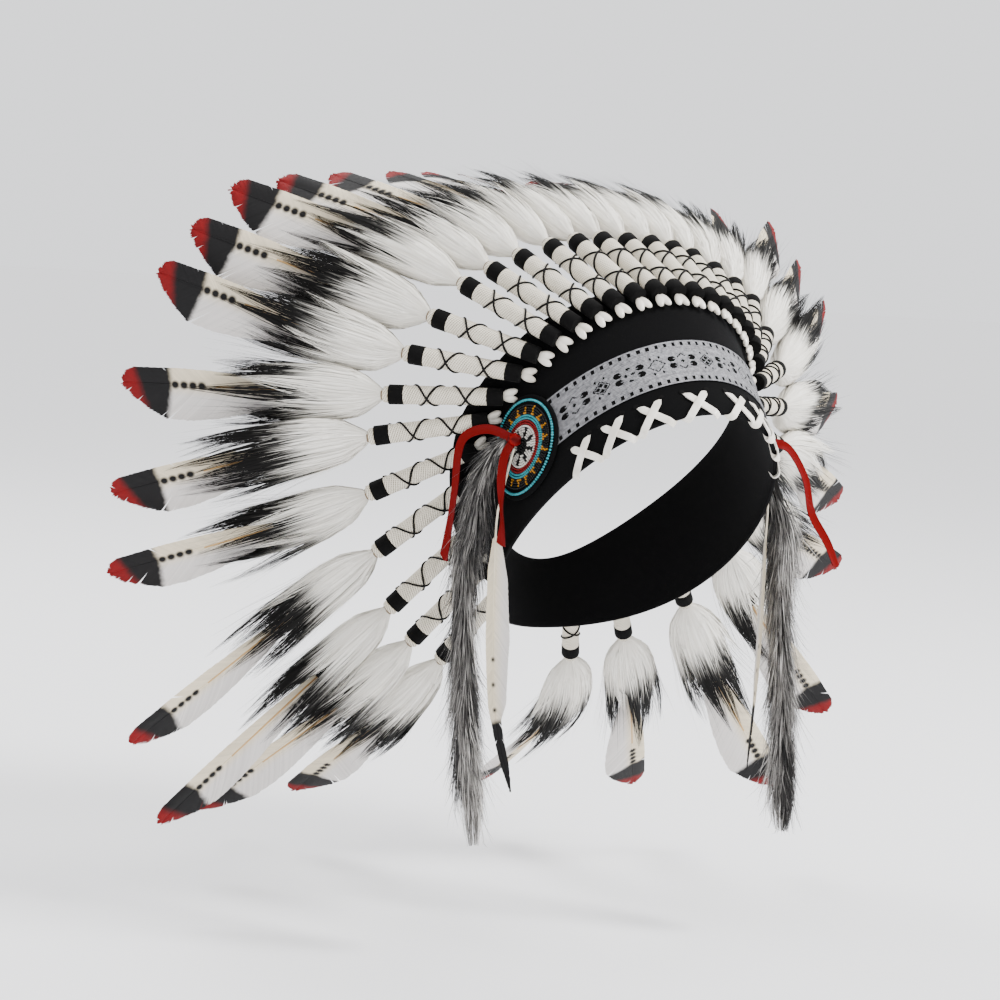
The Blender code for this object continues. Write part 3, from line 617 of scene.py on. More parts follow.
def modelQuill():
    look = quillLooks

    def bandStations(a, b):  # a tape band stands a little proud, with rounded edges
        edge, proud = look["bandEdge"], look["bandProud"]
        return [(a, quillRadius(a) + proud * 0.2), (a + edge, quillRadius(a) + proud),
                (b - edge, quillRadius(b) + proud), (b, quillRadius(b) + proud * 0.2)]

    wrapStart, wrapEnd = quillStart + look["bandLength"], quillEnd - look["bandLength"]
    wrap = [wrapStart + (wrapEnd - wrapStart) * i / 8 for i in range(9)]
    stations = [(quillStart - 0.3 * mm, feather["radiusInner"] * 0.72), *bandStations(quillStart, wrapStart)]
    stations += [(y, quillRadius(y)) for y in wrap] + bandStations(wrapEnd, quillEnd)
    cuff, neck, cuffEnd = look["cuffRadius"], look["neckRadius"], quillEnd + look["cuffLength"]
    stations += [(quillEnd + 0.05 * mm, cuff * 0.97), (quillEnd + 0.8 * mm, cuff * 1.03),
                 (cuffEnd - 1.1 * mm, cuff), (cuffEnd - 0.3 * mm, cuff * 0.84), (cuffEnd, neck),
                 (cuffEnd + 0.9 * mm, neck * 0.97)]
    stations = [s if i == 0 or s[0] > stations[i - 1][0] else (stations[i - 1][0] + 0.03 * mm, s[1])
                for i, s in enumerate(stations)]
    made = drawnOut("quill", stations, look["sides"])
    uv = made.data.uv_layers["UVMap"].data
    paintWith(made, *quillMaterials)
    for face in made.data.polygons:
        y = face.center.y
        inBand = y < wrapStart or wrapEnd < y < quillEnd
        # the neck past the cuff takes the brown painted shade (slot 4)
        face.material_index = 4 if y > cuffEnd - 0.3 * mm else int(inBand)
        middle = math.atan2(face.center.z, face.center.x)
        for loop in face.loop_indices:
            co = made.data.vertices[made.data.loops[loop].vertex_index].co
            turn = math.atan2(co.z, co.x)
            turn += 2 * math.pi * round((middle - turn) / (2 * math.pi))
            uv[loop].uv = (turn * feather["radiusOuter"] / mm, co.y / mm)
    return shadeSmooth(made, 50)


def modelLashing():  # two threads wound against each other, which cross on the quill's face and behind it
    look = quillLooks
    start, end = quillStart + look["bandLength"], quillEnd - look["bandLength"]
    threads = []
    for way in (1, -1):
        points = []
        for i in range(look["threadSteps"] + 1):
            y = mix(start, end, i / look["threadSteps"])
            radius = quillRadius(y) + look["threadRadius"] * 0.55
            turn = math.pi / 2 + way * 2 * math.pi * (end - look["firstCrossing"] - y) / look["crossings"]
            points.append((radius * math.cos(turn), y, radius * math.sin(turn)))
        threads.append(tubeAlong("lashing", points, look["threadRadius"]))
    made = joined("lashing", threads)
    paintWith(made, *quillMaterials, index=2)
    return shadeSmooth(made, 80)


thong = {"length": 11.0 * mm, "width": 5.2 * mm, "height": 4.2 * mm, "spread": 15, "nod": 12,
         "apart": 2.05 * mm, "place": 1.3 * mm, "height0": -2.4 * mm, "voxel": 0.45 * mm}


def modelLoop():  # the thong comes up through the felt and folds over, a cleft towards the brow
    lobes = []
    for way in (-1, 1):
        lobe = ball(16, 10)
        lobe.scale = (thong["width"] / 2, thong["length"] / 2, thong["height"] / 2)
        lobe.rotation_euler = (math.radians(thong["nod"]), 0, math.radians(way * thong["spread"]))
        lobe.location = (way * thong["apart"], thong["place"], thong["height0"])
        bpy.ops.object.transform_apply(location=True, rotation=True, scale=True)
        lobes.append(lobe)
    made = joined("thongLoop", lobes)
    modify(made, "REMESH", mode="VOXEL", voxel_size=thong["voxel"])
    modify(made, "SMOOTH", factor=0.5, iterations=2)
    modify(made, "DECIMATE", ratio=0.3)
    paintWith(made, *quillMaterials, index=3)
    return shadeSmooth(made, 80)


# Fur: strands over a closed core, which keeps light from showing through the middle of the tuft

def drawsFor(rng, count):  # random values in a column, one a hair
    def between(low, high):
        return rng.uniform(low, high, (count, 1))

    def around(spread):
        return rng.normal(0.0, spread, (count, 1))

    def either(share, first, second):
        return np.where(rng.random((count, 1)) < share, between(*first), between(*second))

    return between, around, either


def unit(vectors):
    return vectors / np.maximum(np.linalg.norm(vectors, axis=-1, keepdims=True), 1e-9)


def stripFaces(count, steps, order=(0, 1, 3, 2)):  # faces of strips whose two edges' points take turns
    first = (np.arange(count)[:, None] * steps + np.arange(steps - 1)[None, :]) * 2
    return np.stack([first + k for k in order], axis=2).reshape(-1, 4)


def tubeMesh(alongs, halfWidths, halfDepths, sides):  # an oval tube along +Y, its normals and its faces
    turns = 2 * np.pi * np.arange(sides) / sides
    points = np.stack([halfWidths[:, None] * np.cos(turns), np.repeat(alongs[:, None], sides, 1),
                       halfDepths[:, None] * np.sin(turns)], axis=2).reshape(-1, 3)
    normals = np.stack([np.cos(turns) * halfDepths[:, None], np.zeros((len(alongs), sides)),
                        np.sin(turns) * halfWidths[:, None]], axis=2).reshape(-1, 3)
    ring, follow = np.arange(sides), (np.arange(sides) + 1) % sides
    faces = np.concatenate([np.stack([r * sides + ring, (r + 1) * sides + ring, (r + 1) * sides + follow,
                                      r * sides + follow], axis=1) for r in range(len(alongs) - 1)])
    return points, normals, faces


def furPiece(name, hair, core, paint, line, mirror):  # laid along its line, lit by the tuft's shape
    aside = unit(np.cross(np.gradient(hair["paths"], axis=1), hair["facing"])) * hair["widths"][..., None] / 2
    edges = np.stack([hair["paths"] - aside, hair["paths"] + aside], axis=2).reshape(-1, 3)
    corePoints, coreNormals, coreFaces = core["shape"]
    points = np.concatenate([edges, corePoints])
    faces = np.concatenate([stripFaces(*hair["widths"].shape), coreFaces + len(edges)])
    made = meshOf(name, points, faces.tolist())
    for key in ("dye", "tone"):
        setAttribute(made, key, np.append(np.repeat(hair[key], 2), core[key] + np.zeros(len(corePoints))))
    paintWith(made, paint)
    normals = np.concatenate([np.repeat(hair["normals"].reshape(-1, 3), 2, axis=0), coreNormals])
    straight = coordinates(made.data)
    layAlong(made, line, mirror)
    ahead = unit(bentAlong(straight + np.array([0.0, 0.5 * mm, 0.0]), line) - bentAlong(straight, line))
    side, out = readLine(line, straight[:, 1], "sides", "outs")
    turned = unit(side * normals[:, :1] + ahead * normals[:, 1:2] + out * normals[:, 2:])
    turned[:, 0] *= mirror
    made.data.normals_split_custom_set_from_vertices(turned.tolist())
    return made


# Fur plume: strands that leave the neck together, part into white and black locks and end in points

plumeLooks = {
    "hairs": 1060, "steps": 8, "hairWidth": 0.95 * mm, "locks": 16, "stray": 0.08, "start": 0.04,
    "blackShare": 0.72, "blackFrom": (0.30, 0.50), "blackReach": (0.94, 1.20), "whiteReach": (0.60, 0.86),
    "core": 0.93, "coreEnd": 0.60, "coreSides": 14,
    "along": (0.0, 0.03, 0.08, 0.16, 0.30, 0.50, 0.80, 1.0, 1.2),
    "wide": (0.20, 0.34, 0.58, 0.82, 0.98, 1.05, 1.18, 1.15, 1.1),
}


def modelPlume(name, line, room, seed, mirror):
    rng = np.random.default_rng(seed)
    look, depth = plumeLooks, feather["plumeHalfDepth"]
    hairs, locks = look["hairs"], look["locks"]
    between, around, either = drawsFor(rng, hairs)
    share = np.linspace(0.0, 1.0, look["steps"])[None, :]
    lockTurn = 2 * np.pi * (np.arange(locks) + rng.uniform(-0.35, 0.35, locks)) / locks
    dark = rng.random(locks) < look["blackShare"]
    lockReach = np.where(dark, rng.uniform(*look["blackReach"], locks),
                         rng.uniform(*look["whiteReach"], locks))
    lockSpread = rng.uniform(0.45, 1.2, locks)
    lockFrom = np.where(dark, rng.uniform(*look["blackFrom"], locks), 1.6)
    lockSweep = rng.normal(0.0, 0.16, (locks, 2))
    lock = rng.integers(0, locks, (hairs, 1))
    stray = rng.random((hairs, 1)) < look["stray"]
    turn = lockTurn[lock] + around(0.24)
    outward = either(0.72, (0.94, 1.03), (0.4, 0.95))
    reach = lockReach[lock] * either(0.55, (0.86, 1.03), (0.60, 0.9))
    reach = np.where(stray, between(0.85, 1.16), reach)
    start = between(0.0, look["start"])
    y = start + (reach - start) * share
    pull = np.where(stray, 0.1, 0.9) * share ** 2.2
    wide = np.interp(y, look["along"], look["wide"]) * mix(outward, lockSpread[lock], pull)
    angle = mix(turn, lockTurn[lock], pull)
    splay = np.where(stray, between(0.2, 0.8), 0.0) * share ** 2
    wave = np.sin(share * np.pi * between(1.0, 2.4) + between(0, 6.28)) * share

    def spread(half, way, axis, shake):
        sweep = lockSweep[lock, axis] * share ** 2
        return half * (wide * way(angle) + sweep + splay * way(turn)) + wave * around(shake)

    x, z = spread(room, np.cos, 0, 0.5 * mm), spread(depth, np.sin, 1, 0.4 * mm)
    neckEnd = line["quillEnd"] + quillLooks["cuffLength"] + 0.2 * mm
    outside = unit(np.stack([np.cos(angle) * depth, np.zeros_like(y), np.sin(angle) * room], axis=2))
    widths = look["hairWidth"] * np.where(stray, 0.35, 1.0) * between(0.55, 1.15)
    widths = widths * (0.7 + 0.3 * np.sin(np.pi * np.clip(share * 1.25, 0, 1))) * (1.0 - share ** 3 * 0.94)
    facing = outside + rng.normal(0.0, 0.3, (hairs, 1, 3))
    black = lockFrom[lock] + around(0.05)
    black = np.where(stray, between(0.3, 0.5), black)
    # painted shade: the hairs darken over the first eighth of the plume, where they crowd into the cuff
    tone = 0.78 + around(0.16) * mix(0.4, 1.0, y) + 1.6 * np.minimum(y - 0.12, 0.0)
    hair = {
        "paths": np.stack([x, y * feather["plume"] + neckEnd, z], axis=2), "widths": widths, "facing": facing,
        "dye": smoothStep((y - black) / 0.13), "tone": np.clip(tone, 0, 1),
        "normals": outside + rng.normal(0.0, 0.13, (hairs, 1, 3)),
    }
    end, sides = look["coreEnd"], look["coreSides"]
    along = np.linspace(0.0, end, 12)
    wide = np.interp(along, look["along"], look["wide"]) * look["core"]
    wide *= np.sqrt(np.clip((end * 1.02 - along) / (end * 0.35), 0.02, 1.0))
    core = {"shape": tubeMesh(along * feather["plume"] + neckEnd, room * wide, depth * wide, sides),
            "dye": smoothStep((np.repeat(along, sides) - 0.36) / 0.14), "tone": 0.5}
    return furPiece(name, hair, core, plumeFur, line, mirror)


# Blade: a shaft with a sheet of barbs on both sides, split here and there and frayed at its tip

bladeLooks = {
    "narrow": 11.0 * mm, "wide": 24.0 * mm, "pitch": 1.35 * mm, "lean": 0.95, "start": 0.30, "steps": 6,
    "camber": 1.6 * mm, "splits": 2, "splitGap": 1.3 * mm, "frayed": 12 * mm,
    "black": 33 * mm, "blackSlant": 0.15, "red": 11 * mm, "redSlant": 0.30, "smudge": 4.0,
    "dot": 2.5 * mm, "dotPitch": 5.9 * mm, "dots": 4, "dotGap": -0.6 * mm,
    "narrowOutline": ((0.0, 0.05), (0.30, 0.1), (0.40, 0.5), (0.52, 0.75), (0.68, 0.95), (0.80, 1.0),
                      (0.955, 0.95), (0.985, 0.72), (1.006, 0.20)),
    "wideOutline": ((0.0, 0.05), (0.30, 0.1), (0.40, 0.42), (0.50, 0.66), (0.64, 0.90), (0.74, 1.0),
                    (0.83, 0.98), (0.90, 0.72), (0.96, 0.40), (1.0, 0.08)),
    "cream": "#DDD0B6", "greyWhite": "#D6D1CD", "charcoal": "#100F10", "scarlet": "#73060B",
    "stem": (1.4 * mm, 0.3 * mm), "stemSides": 6, "shaft": shaft,
}
bladeVane = vaneKeratin("vaneKeratin", bladeLooks)


def barbSide(rng, side, length, look):  # one side's barbs: overlapping strips that slant towards the tip
    pitch, steps, lean = look["pitch"], look["steps"], look["lean"]
    bases = np.arange(look["start"] * length, length * 0.992, pitch)
    count = len(bases)
    full = look["wide"] if side > 0 else look["narrow"]
    shares, widths = zip(*look["wideOutline" if side > 0 else "narrowOutline"])
    tries = np.linspace(0.0, full, 160)  # each barb runs out until it meets the outline
    outline = full * np.interp((bases[:, None] + lean * tries) / length, shares, widths, right=0.0)
    reach = tries[np.argmax(outline <= tries, axis=1)] * rng.uniform(0.985, 1.01, count)
    frayed = smoothStep((bases - (length - look["frayed"])) / look["frayed"])
    reach *= 1.0 - frayed * rng.uniform(0.0, 0.22, count)
    shift = np.zeros(count)
    for split in range(look["splits"] + 2 if side > 0 else 1):
        place = length - (rng.uniform(18, 48) * mm if split < look["splits"] else rng.uniform(3, 16) * mm)
        away = (bases + lean * reach * 0.6 - place) / pitch
        gap = look["splitGap"] * rng.uniform(0.15, 1.0)
        shift += np.where(away > 0, 1.0, -1.0) * gap * np.exp(-np.abs(away) / 4.5)
    bases, reach, shift, frayed = (v[:, None] for v in (bases, reach, shift, frayed))
    t = np.linspace(0, 1, steps)[None, :]
    y = bases + lean * reach * t ** 1.15 + shift * t ** 1.6
    y += frayed * rng.normal(0, 0.6 * mm, (count, 1)) * t
    z = look["camber"] * (np.sin(np.pi * t * 0.8) * 0.55 - 0.55 * t ** 2)
    z = z + rng.normal(0, 0.08 * mm, (count, 1)) * t
    width = pitch * (1.55 - np.clip((t - 0.8) / 0.2, 0, 1) * mix(0.30, 1.2, frayed))
    paths = np.stack([side * reach * t, y, z], axis=2)
    half = np.array([0, 0.5, 0]) * width[..., None]
    faces = stripFaces(count, steps, (0, 1, 3, 2) if side < 0 else (0, 2, 3, 1))
    tone = np.repeat(np.clip(rng.normal(0.6, 0.17, count), 0, 1), steps * 2)
    return np.stack([paths - half, paths + half], axis=2).reshape(-1, 3), faces, tone


def modelBlade(name, line, seed, look, vane):
    rng = np.random.default_rng(seed)
    length, sides = line["bladeLength"], look["stemSides"]
    rows = np.linspace(0.0, 0.97, 22)
    radius = mix(*look["stem"], rows)
    stem, _, stemFaces = tubeMesh(rows * length, radius, radius, sides)
    points, faces, tones = [stem], [stemFaces], [np.repeat(rows, sides)]
    for side in (-1, 1):
        edge, face, tone = barbSide(rng, side, length, look)
        faces.append(face + sum(map(len, points)))
        points.append(edge)
        tones.append(tone)
    points, faces = np.concatenate(points), np.concatenate(faces)
    made = meshOf(name, points + np.array([0.0, line["quillEnd"], 0.0]), faces.tolist())
    index = np.zeros(len(made.data.loops), np.int32)
    made.data.loops.foreach_get("vertex_index", index)
    fromShaft = np.abs(points[:, 0])
    slanted = np.stack([fromShaft, points[:, 1] - look["lean"] * fromShaft], axis=1) / mm
    painted = np.stack([points[:, 0], length - points[:, 1]], axis=1) / mm
    for layer, values in (("UVMap", slanted), ("paintMap", painted)):
        data = made.data.uv_layers.new(name=layer).data
        data.foreach_set("uv", values[index].astype(np.float32).ravel())
    setAttribute(made, "tone", np.concatenate(tones))
    paintWith(made, look["shaft"], vane)
    slots = np.ones(len(faces), np.int32)
    stemEnd = (length - look["black"] - look["dots"] * look["dotPitch"]) / length
    # past the dots the shaft is sprayed too
    slots[:len(stemFaces)] = np.where(np.repeat(rows[1:], sides) < stemEnd, 0, 1)
    made.data.polygons.foreach_set("material_index", slots)
    return made


def plumeRoom(line, neighbours):  # half the space that the next feathers leave
    y = line["quillEnd"] + feather["plume"] * feather["plumeWidest"]
    here, *others = (bentAlong(np.array([[0.0, y, 0.0]]), each)[0] for each in (line, *neighbours))
    nearest = min(np.linalg.norm(here - other) for other in others)
    return min(feather["plumeHalfWidth"], nearest / 2 - feather["plumeGap"]) * feather["plumeFuller"]


def makeFeathers():
    featherLines = [featherLine(i) for i in range(feather["aSide"] + 1)]
    quill = joined("quill", [modelQuill(), modelLashing(), modelLoop()])
    for i, line in enumerate(featherLines):
        room = plumeRoom(line, featherLines[max(i - 1, 0):i] + featherLines[i + 1:i + 2])
        for side in (-1, 1) if i else (1,):
            number = feather["aSide"] + 1 + side * i
            label = f"_{number:02d}"
            pieces = [layAlong(copyOf(quill, "quill" + label), line, side)]
            pieces.append(modelPlume("plume" + label, line, room, 100 + number, side))
            blade = modelBlade("blade" + label, line, 300 + number, bladeLooks, bladeVane)
            pieces.append(layAlong(blade, line, side))
            for piece in pieces:
                finished(piece, "feather", "feather" + label)
    bpy.data.objects.remove(quill, do_unlink=True)


makeFeathers()
print("feathers done")


# Headband: one felt wall from the rim to the seam and on under the quills

def makeHeadband():
    def place(u, v):
        ring = -180.0 + 360.0 * u
        if v <= 0.75:
            return rimPoint(ring).lerp(seamPoint(ring), v / 0.75)
        return seamPoint(ring) + quillDirection(ring) * band["flap"] * (v - 0.75) / 0.25

    made = gridOver("headbandFelt", 144, 12, place, (0.62, 0.11))
    facedOutward(made, weld=0.05 * mm)
    thicken(made, band["wall"], band["edge"], use_even_offset=True)
    finished(made, "black_felt", "headband", felt, 50)


makeHeadband()
print("headband done")


# Brow trim: a woven silver ribbon, its figures worked out from their sizes in millimetres

trim = {
    "above": 0.0240, "width": 0.0310, "thickness": 0.0009, "reach": 62.0, "lift": 0.0003, "cell": 0.55,
    "repeat": 37.0, "long": 6.2, "high": 4.9, "outline": 0.8, "edgeRow": 12.8, "squarePitch": 6.1,
    "square": 2.3, "squareHigh": 2.8, "hearts": 7.4, "smallAt": 2.35, "firstFigure": 4.0,
    "ridges": ((9.4, 0.40 * mm, 0.55), (15.0, 0.30 * mm, 0.5)),  # place, height and width
}


def darkThread(x, y):  # whether the black thread shows, x along the trim and y from its middle line
    if abs(abs(y) - trim["edgeRow"]) < trim["squareHigh"] / 2:
        return x % trim["squarePitch"] < trim["square"]
    count = round((x - trim["firstFigure"]) / trim["repeat"])
    fromDiamond = x - trim["firstFigure"] - count * trim["repeat"]
    long, high = abs(fromDiamond), abs(y)
    size = long / trim["long"] + high / trim["high"]
    if size < 1.0:
        if size > 1.0 - trim["outline"] / trim["high"]:
            return True
        if count % 2:  # an open figure
            return False
        a, b = fromDiamond / trim["long"] + y / trim["high"], fromDiamond / trim["long"] - y / trim["high"]
        return size < 0.72 and min(abs(a), abs(b)) > 0.10  # four small ones within it
    if abs(long - 3.0) + abs(high - 5.6) < 1.0:
        return True
    span = trim["repeat"] / 2 - long  # how far from the middle between two figures
    heart = span - trim["hearts"]
    if math.hypot(heart / 2.7, (high - 2.5) / 2.0) < 1.0:  # hearts, notched on the side towards the middle
        return math.hypot((heart + 2.6) / 1.5, (high - 2.5) / 0.5) > 1.0
    if (count + (fromDiamond > 0)) % 2:
        small = abs(span - trim["smallAt"]) / 1.6 + high / 1.1
        return min(small, span / 1.7 + abs(high - 4.4) / 1.2) < 1.0
    if span / 1.6 + high / 1.2 < 1.0:
        return True
    return span < 2.9 and abs(high - 3.4 - 0.75 * (2.9 - span)) < 0.5


def makeTrim():
    width, middle = trim["width"], trim["above"] + trim["width"] / 2
    samples = [bandAt(trim["reach"] * (2 * i / 60 - 1), middle) for i in range(61)]
    length = sum((b - a).length for a, b in zip(samples, samples[1:]))
    cell = trim["cell"] * mm
    columns, rows = round(length / cell), round(width / cell)
    rings = {}

    def place(u, v):
        ring = trim["reach"] * (2 * u - 1)
        key = round(u * columns)
        if key not in rings:
            rings[key] = (rimPoint(ring), bandUp(ring), bandOut(ring, middle))
        base, up, out = rings[key]
        y = abs((v - 0.5) * width / mm)
        ridge = sum(high * math.exp(-((y - at) / wide) ** 2) for at, high, wide in trim["ridges"])
        lift = band["wall"] / 2 + trim["lift"] + ridge + trim["thickness"] * 0.7
        return base + up * (trim["above"] + width * v) + out * lift

    made = gridOver("browTrim", columns, rows, place, (length, width))
    paintWith(made, silver, blackWeft)
    uv = made.data.uv_layers.active.data
    for face in made.data.polygons:
        u, v = (sum(uv[k].uv[axis] for k in face.loop_indices) / 4 for axis in (0, 1))
        face.material_index = int(darkThread(u - length / mm / 2, v - width / mm / 2))
    thicken(made, trim["thickness"] * 0.7, offset=-1.0)
    finished(made, "silver_trim", "brow_trim", smooth=60)


makeTrim()
print("trim done")


# Lacing: crossed flat thongs from their holes below the trim, over the felt's edge

lacing = {
    "places": (-52.0, -40.0, -26.0, -8.0, 11.0, 25.0, 38.0, 49.5), "halfSpan": 0.0078, "halfWidth": 0.0023,
    "thickness": 0.0009, "gap": 0.0052, "inside": 0.006, "lift": 0.0004, "edge": 0.15 * mm,
    "hole": (1.9 * mm, 1.5 * mm, 0.25 * mm),
}


def lacingAxes(ring):
    return perDegree(rimPoint, ring).normalized(), bandUp(ring), bandOut(ring, trim["above"] / 2)


def makeThong(name, ring, slant):  # up from inside the rim, round the felt's edge and across to its hole
    along, up, out = lacingAxes(ring)
    thickness, halfWidth = lacing["thickness"], lacing["halfWidth"]
    rise = up * (trim["above"] - lacing["gap"] - halfWidth) + along * (2 * lacing["halfSpan"] * slant)
    length, run = rise.length, rise.normalized()
    aside = run.cross(out).normalized()
    lift = band["wall"] / 2 + lacing["lift"] + thickness / 2
    bend = math.pi * lift
    before = bend + lacing["inside"]
    over = 1.0 if slant > 0 else 0.1  # one thong of each cross lies on the other
    foot = rimPoint(ring) - along * (lacing["halfSpan"] * slant)

    def place(u, v):
        at = -before + (length + before) * v
        drift = along * (at * run.dot(along))
        wide = 1.0
        if at < -bend:
            middle = foot + drift + up * (-bend - at) - out * lift
        elif at < 0.0:
            turn = -at / lift
            middle = foot + drift + out * (lift * math.cos(turn)) - up * (lift * math.sin(turn))
        else:
            share = min(at / length, 1.0)
            middle = foot + run * at + out * (lift + thickness * over * math.sin(math.pi * share) ** 0.8)
            into = float(smoothStep((share - 0.80) / 0.20))
            middle -= out * (thickness * 1.7 * into)
            wide = 1.0 - 0.75 * into
        return middle + aside * (halfWidth * wide * (2 * u - 1)) - out * (0.12 * mm * (2 * u - 1) ** 2)

    made = gridOver(name, 4, 44, place, (halfWidth * 2, length))
    thicken(made, thickness, lacing["edge"])
    return made


def makeHole(name, ring, slant):  # the slit that a thong comes up through, a dark dimple in the felt
    axes = lacingAxes(ring)
    height = trim["above"] - lacing["gap"] - lacing["halfWidth"] * 0.6
    centre = rimPoint(ring) + axes[1] * height + axes[0] * (lacing["halfSpan"] * slant * 1.06)
    centre += axes[2] * (band["wall"] / 2)
    made = ball(14, 8)
    for vertex in made.data.vertices:
        co = vertex.co.copy()
        vertex.co = centre + sum((axes[k] * (co[k] * lacing["hole"][k]) for k in range(3)), Vector())
    return made


def makeLacing():
    for i, ring in enumerate(lacing["places"], 1):
        kinds = (("thongCross", makeThong, flatThong, 50, "white_thong", f"lacing_{i}"),
                 ("thongHoles", makeHole, blackTape, 60, "black_felt", None))
        for kind, make, paint, smooth, slot, node in kinds:
            name = f"{kind}_{i}"
            made = joined(name, [make(name + "a", ring, 1.0), make(name + "b", ring, -1.0)])
            finished(made, slot, node, paint, smooth)


makeLacing()
print("lacing done")


# Rosettes: felt discs bent with the head, and seed beads sewn on in rings

rosette = {
    "ring": 71.0, "above": 0.0400, "radius": 0.0300, "feltThick": 0.0022, "base": 0.0015, "edge": 0.6 * mm,
    "beadSize": 1.55 * mm, "firstRing": 1.1 * mm, "ringPitch": 1.50 * mm, "rings": 17,
    "outerRing": 26.7 * mm, "outerBead": 1.85 * mm, "motifs": 18, "patternRadius": 29.7,
    "beadRings": ((28.5, "turquoise"), (26.9, "black"), (17.4, "turquoise"), (14.2, "red"), (12.4, "white")),
}


def rosettePlace(side, radius, turn, lift):  # a point on the bent face of a rosette
    ring, above = rosette["ring"], rosette["above"]
    ring = (ring + radius * math.cos(turn) / perDegree(bandAt, ring, above).length) * side
    height = above + radius * math.sin(turn)
    return bandAt(ring, height) + bandOut(ring, height) * (band["wall"] / 2 + lift)


def beadColour(radius, turn):  # which glass a bead is of, by its place on the rosette
    r = radius / rosette["outerRing"] * rosette["patternRadius"]
    wedge = 2 * math.pi / rosette["motifs"]
    if 19.6 < r <= 26.9:
        arc = abs((turn + wedge / 2) % wedge - wedge / 2) * r
        return "gold" if arc < mix(2.5, 0.4, (r - 19.6) / 6.2) else "black"
    for inner, colour in rosette["beadRings"]:
        if r > inner:
            return colour
    block = abs((turn / (2 * math.pi) * 8) % 1.0 - 0.5)
    return "white" if r > 5.2 and block < mix(0.24, 0.42, (r - 5.2) / 7.2) else "black"


def makeRosetteFelt(side, label):
    freshStart()
    bpy.ops.mesh.primitive_circle_add(vertices=64, radius=rosette["radius"], fill_type="NGON")
    disc = bpy.context.object
    disc.name = "rosetteFelt_" + label
    bpy.ops.object.mode_set(mode="EDIT")
    bpy.ops.mesh.select_all(action="SELECT")
    for _ in range(7):
        bpy.ops.mesh.inset(thickness=rosette["radius"] / 8.2, depth=0.0)
    bpy.ops.mesh.poke()
    bpy.ops.object.mode_set(mode="OBJECT")
    thicken(disc, rosette["feltThick"], rosette["edge"], offset=1.0)
    for vertex in disc.data.vertices:
        x, y, lift = vertex.co
        vertex.co = rosettePlace(side, math.hypot(x, y), math.atan2(y, x), rosette["base"] + lift)
    finished(facedOutward(disc), "black_felt", "rosette_felt_" + label, felt, 50)


def makeBeads(side, label):
    bead = ball(7, 4, 0.5)
    shape = coordinates(bead.data)
    faces = [tuple(p.vertices) for p in bead.data.polygons]
    bpy.data.objects.remove(bead, do_unlink=True)
    rng = np.random.default_rng(40 + side)
    points, allFaces, colours = [], [], []
    names = list(beadColours)
    rows = [(rosette["firstRing"] + rosette["ringPitch"] * i, rosette["beadSize"])
            for i in range(rosette["rings"] - 1)] + [(rosette["outerRing"], rosette["outerBead"])]
    for radius, size in rows:
        count = max(3, round(2 * math.pi * radius / (size * 0.93)))
        for k in range(count):
            turn = 2 * math.pi * (k + rng.uniform(-0.08, 0.08)) / count
            lift = rosette["base"] + rosette["feltThick"] + size * 0.42
            centre = rosettePlace(side, radius, turn, lift)
            along = (rosettePlace(side, radius, turn + 0.02, lift) - centre).normalized()
            out = (rosettePlace(side, radius, turn, lift + 1 * mm) - centre).normalized()
            turned = np.array((along * 0.88, along.cross(out), out)) * size * rng.uniform(0.94, 1.05)
            allFaces += [tuple(v + len(points) * len(shape) for v in f) for f in faces]
            colours += [names.index(beadColour(radius, turn))] * len(faces)
            points.append(shape @ turned + np.array(centre))
    beads = facedOutward(meshOf("rosetteBeads_" + label, np.concatenate(points), allFaces))
    paintWith(beads, *(beadGlass[n] for n in names))
    beads.data.polygons.foreach_set("material_index", colours)
    finished(beads, "glass_beads", "rosette_beadwork_" + label)


# Ribbons, fur tails and plain feathers that hang from the rosettes

hanging = {
    "knotRadius": 0.0052, "knotFlat": 0.7, "knotUp": 0.004, "ribbonWidth": 0.0060, "ribbonThick": 0.0004,
    "long": 0.081, "short": 0.067, "tail": 0.262, "tailHalfWidth": 0.0165, "tailHalfDepth": 0.0080,
    "tailRoot": 0.0028, "drop": 0.215, "clearance": 0.0003, "beadwork": 0.0017,
}
falls = {  # routes on from the knot as shares of each piece's length: out from the head, back and up
    "right_long": ((0.10, 0.22, 0.06), (0.22, 0.36, 0.00), (0.27, 0.39, -0.14), (0.28, 0.39, -0.40),
                   (0.29, 0.41, -0.66), (0.31, 0.45, -1.00)),
    "right_short": ((0.09, 0.00, -0.14), (0.12, -0.01, -0.34), (0.11, -0.01, -0.58), (0.10, -0.05, -0.80),
                    (0.08, -0.01, -1.00)),
    "left_long": ((0.11, -0.01, 0.02), (0.25, -0.02, -0.04), (0.40, -0.05, -0.27), (0.46, -0.09, -0.55),
                  (0.60, -0.15, -0.79), (0.70, -0.17, -1.00)),
    "left_short": ((0.11, 0.17, 0.07), (0.13, 0.35, 0.02), (0.12, 0.41, -0.18), (0.11, 0.42, -0.55),
                   (0.10, 0.43, -1.00)),
    "right_tail": ((0.028, 0.022, -0.050), (0.042, 0.050, -0.134), (0.046, 0.063, -0.24),
                   (0.050, 0.075, -0.32), (0.042, 0.055, -0.65), (0.026, 0.00, -1.00)),
    "left_tail": ((0.028, 0.010, -0.050), (0.050, -0.015, -0.134), (0.066, -0.045, -0.24),
                  (0.075, -0.045, -0.43), (0.095, -0.06, -0.68), (0.115, -0.07, -1.00)),
    "right_drop": ((0.022, 0.014, -0.14), (0.022, 0.034, -0.27), (0.012, 0.00, -0.75),
                   (-0.005, -0.10, -1.00)),
    "left_drop": ((0.022, -0.004, -0.14), (0.022, -0.008, -0.27), (0.022, -0.016, -0.65),
                  (0.014, -0.01, -1.00)),
}


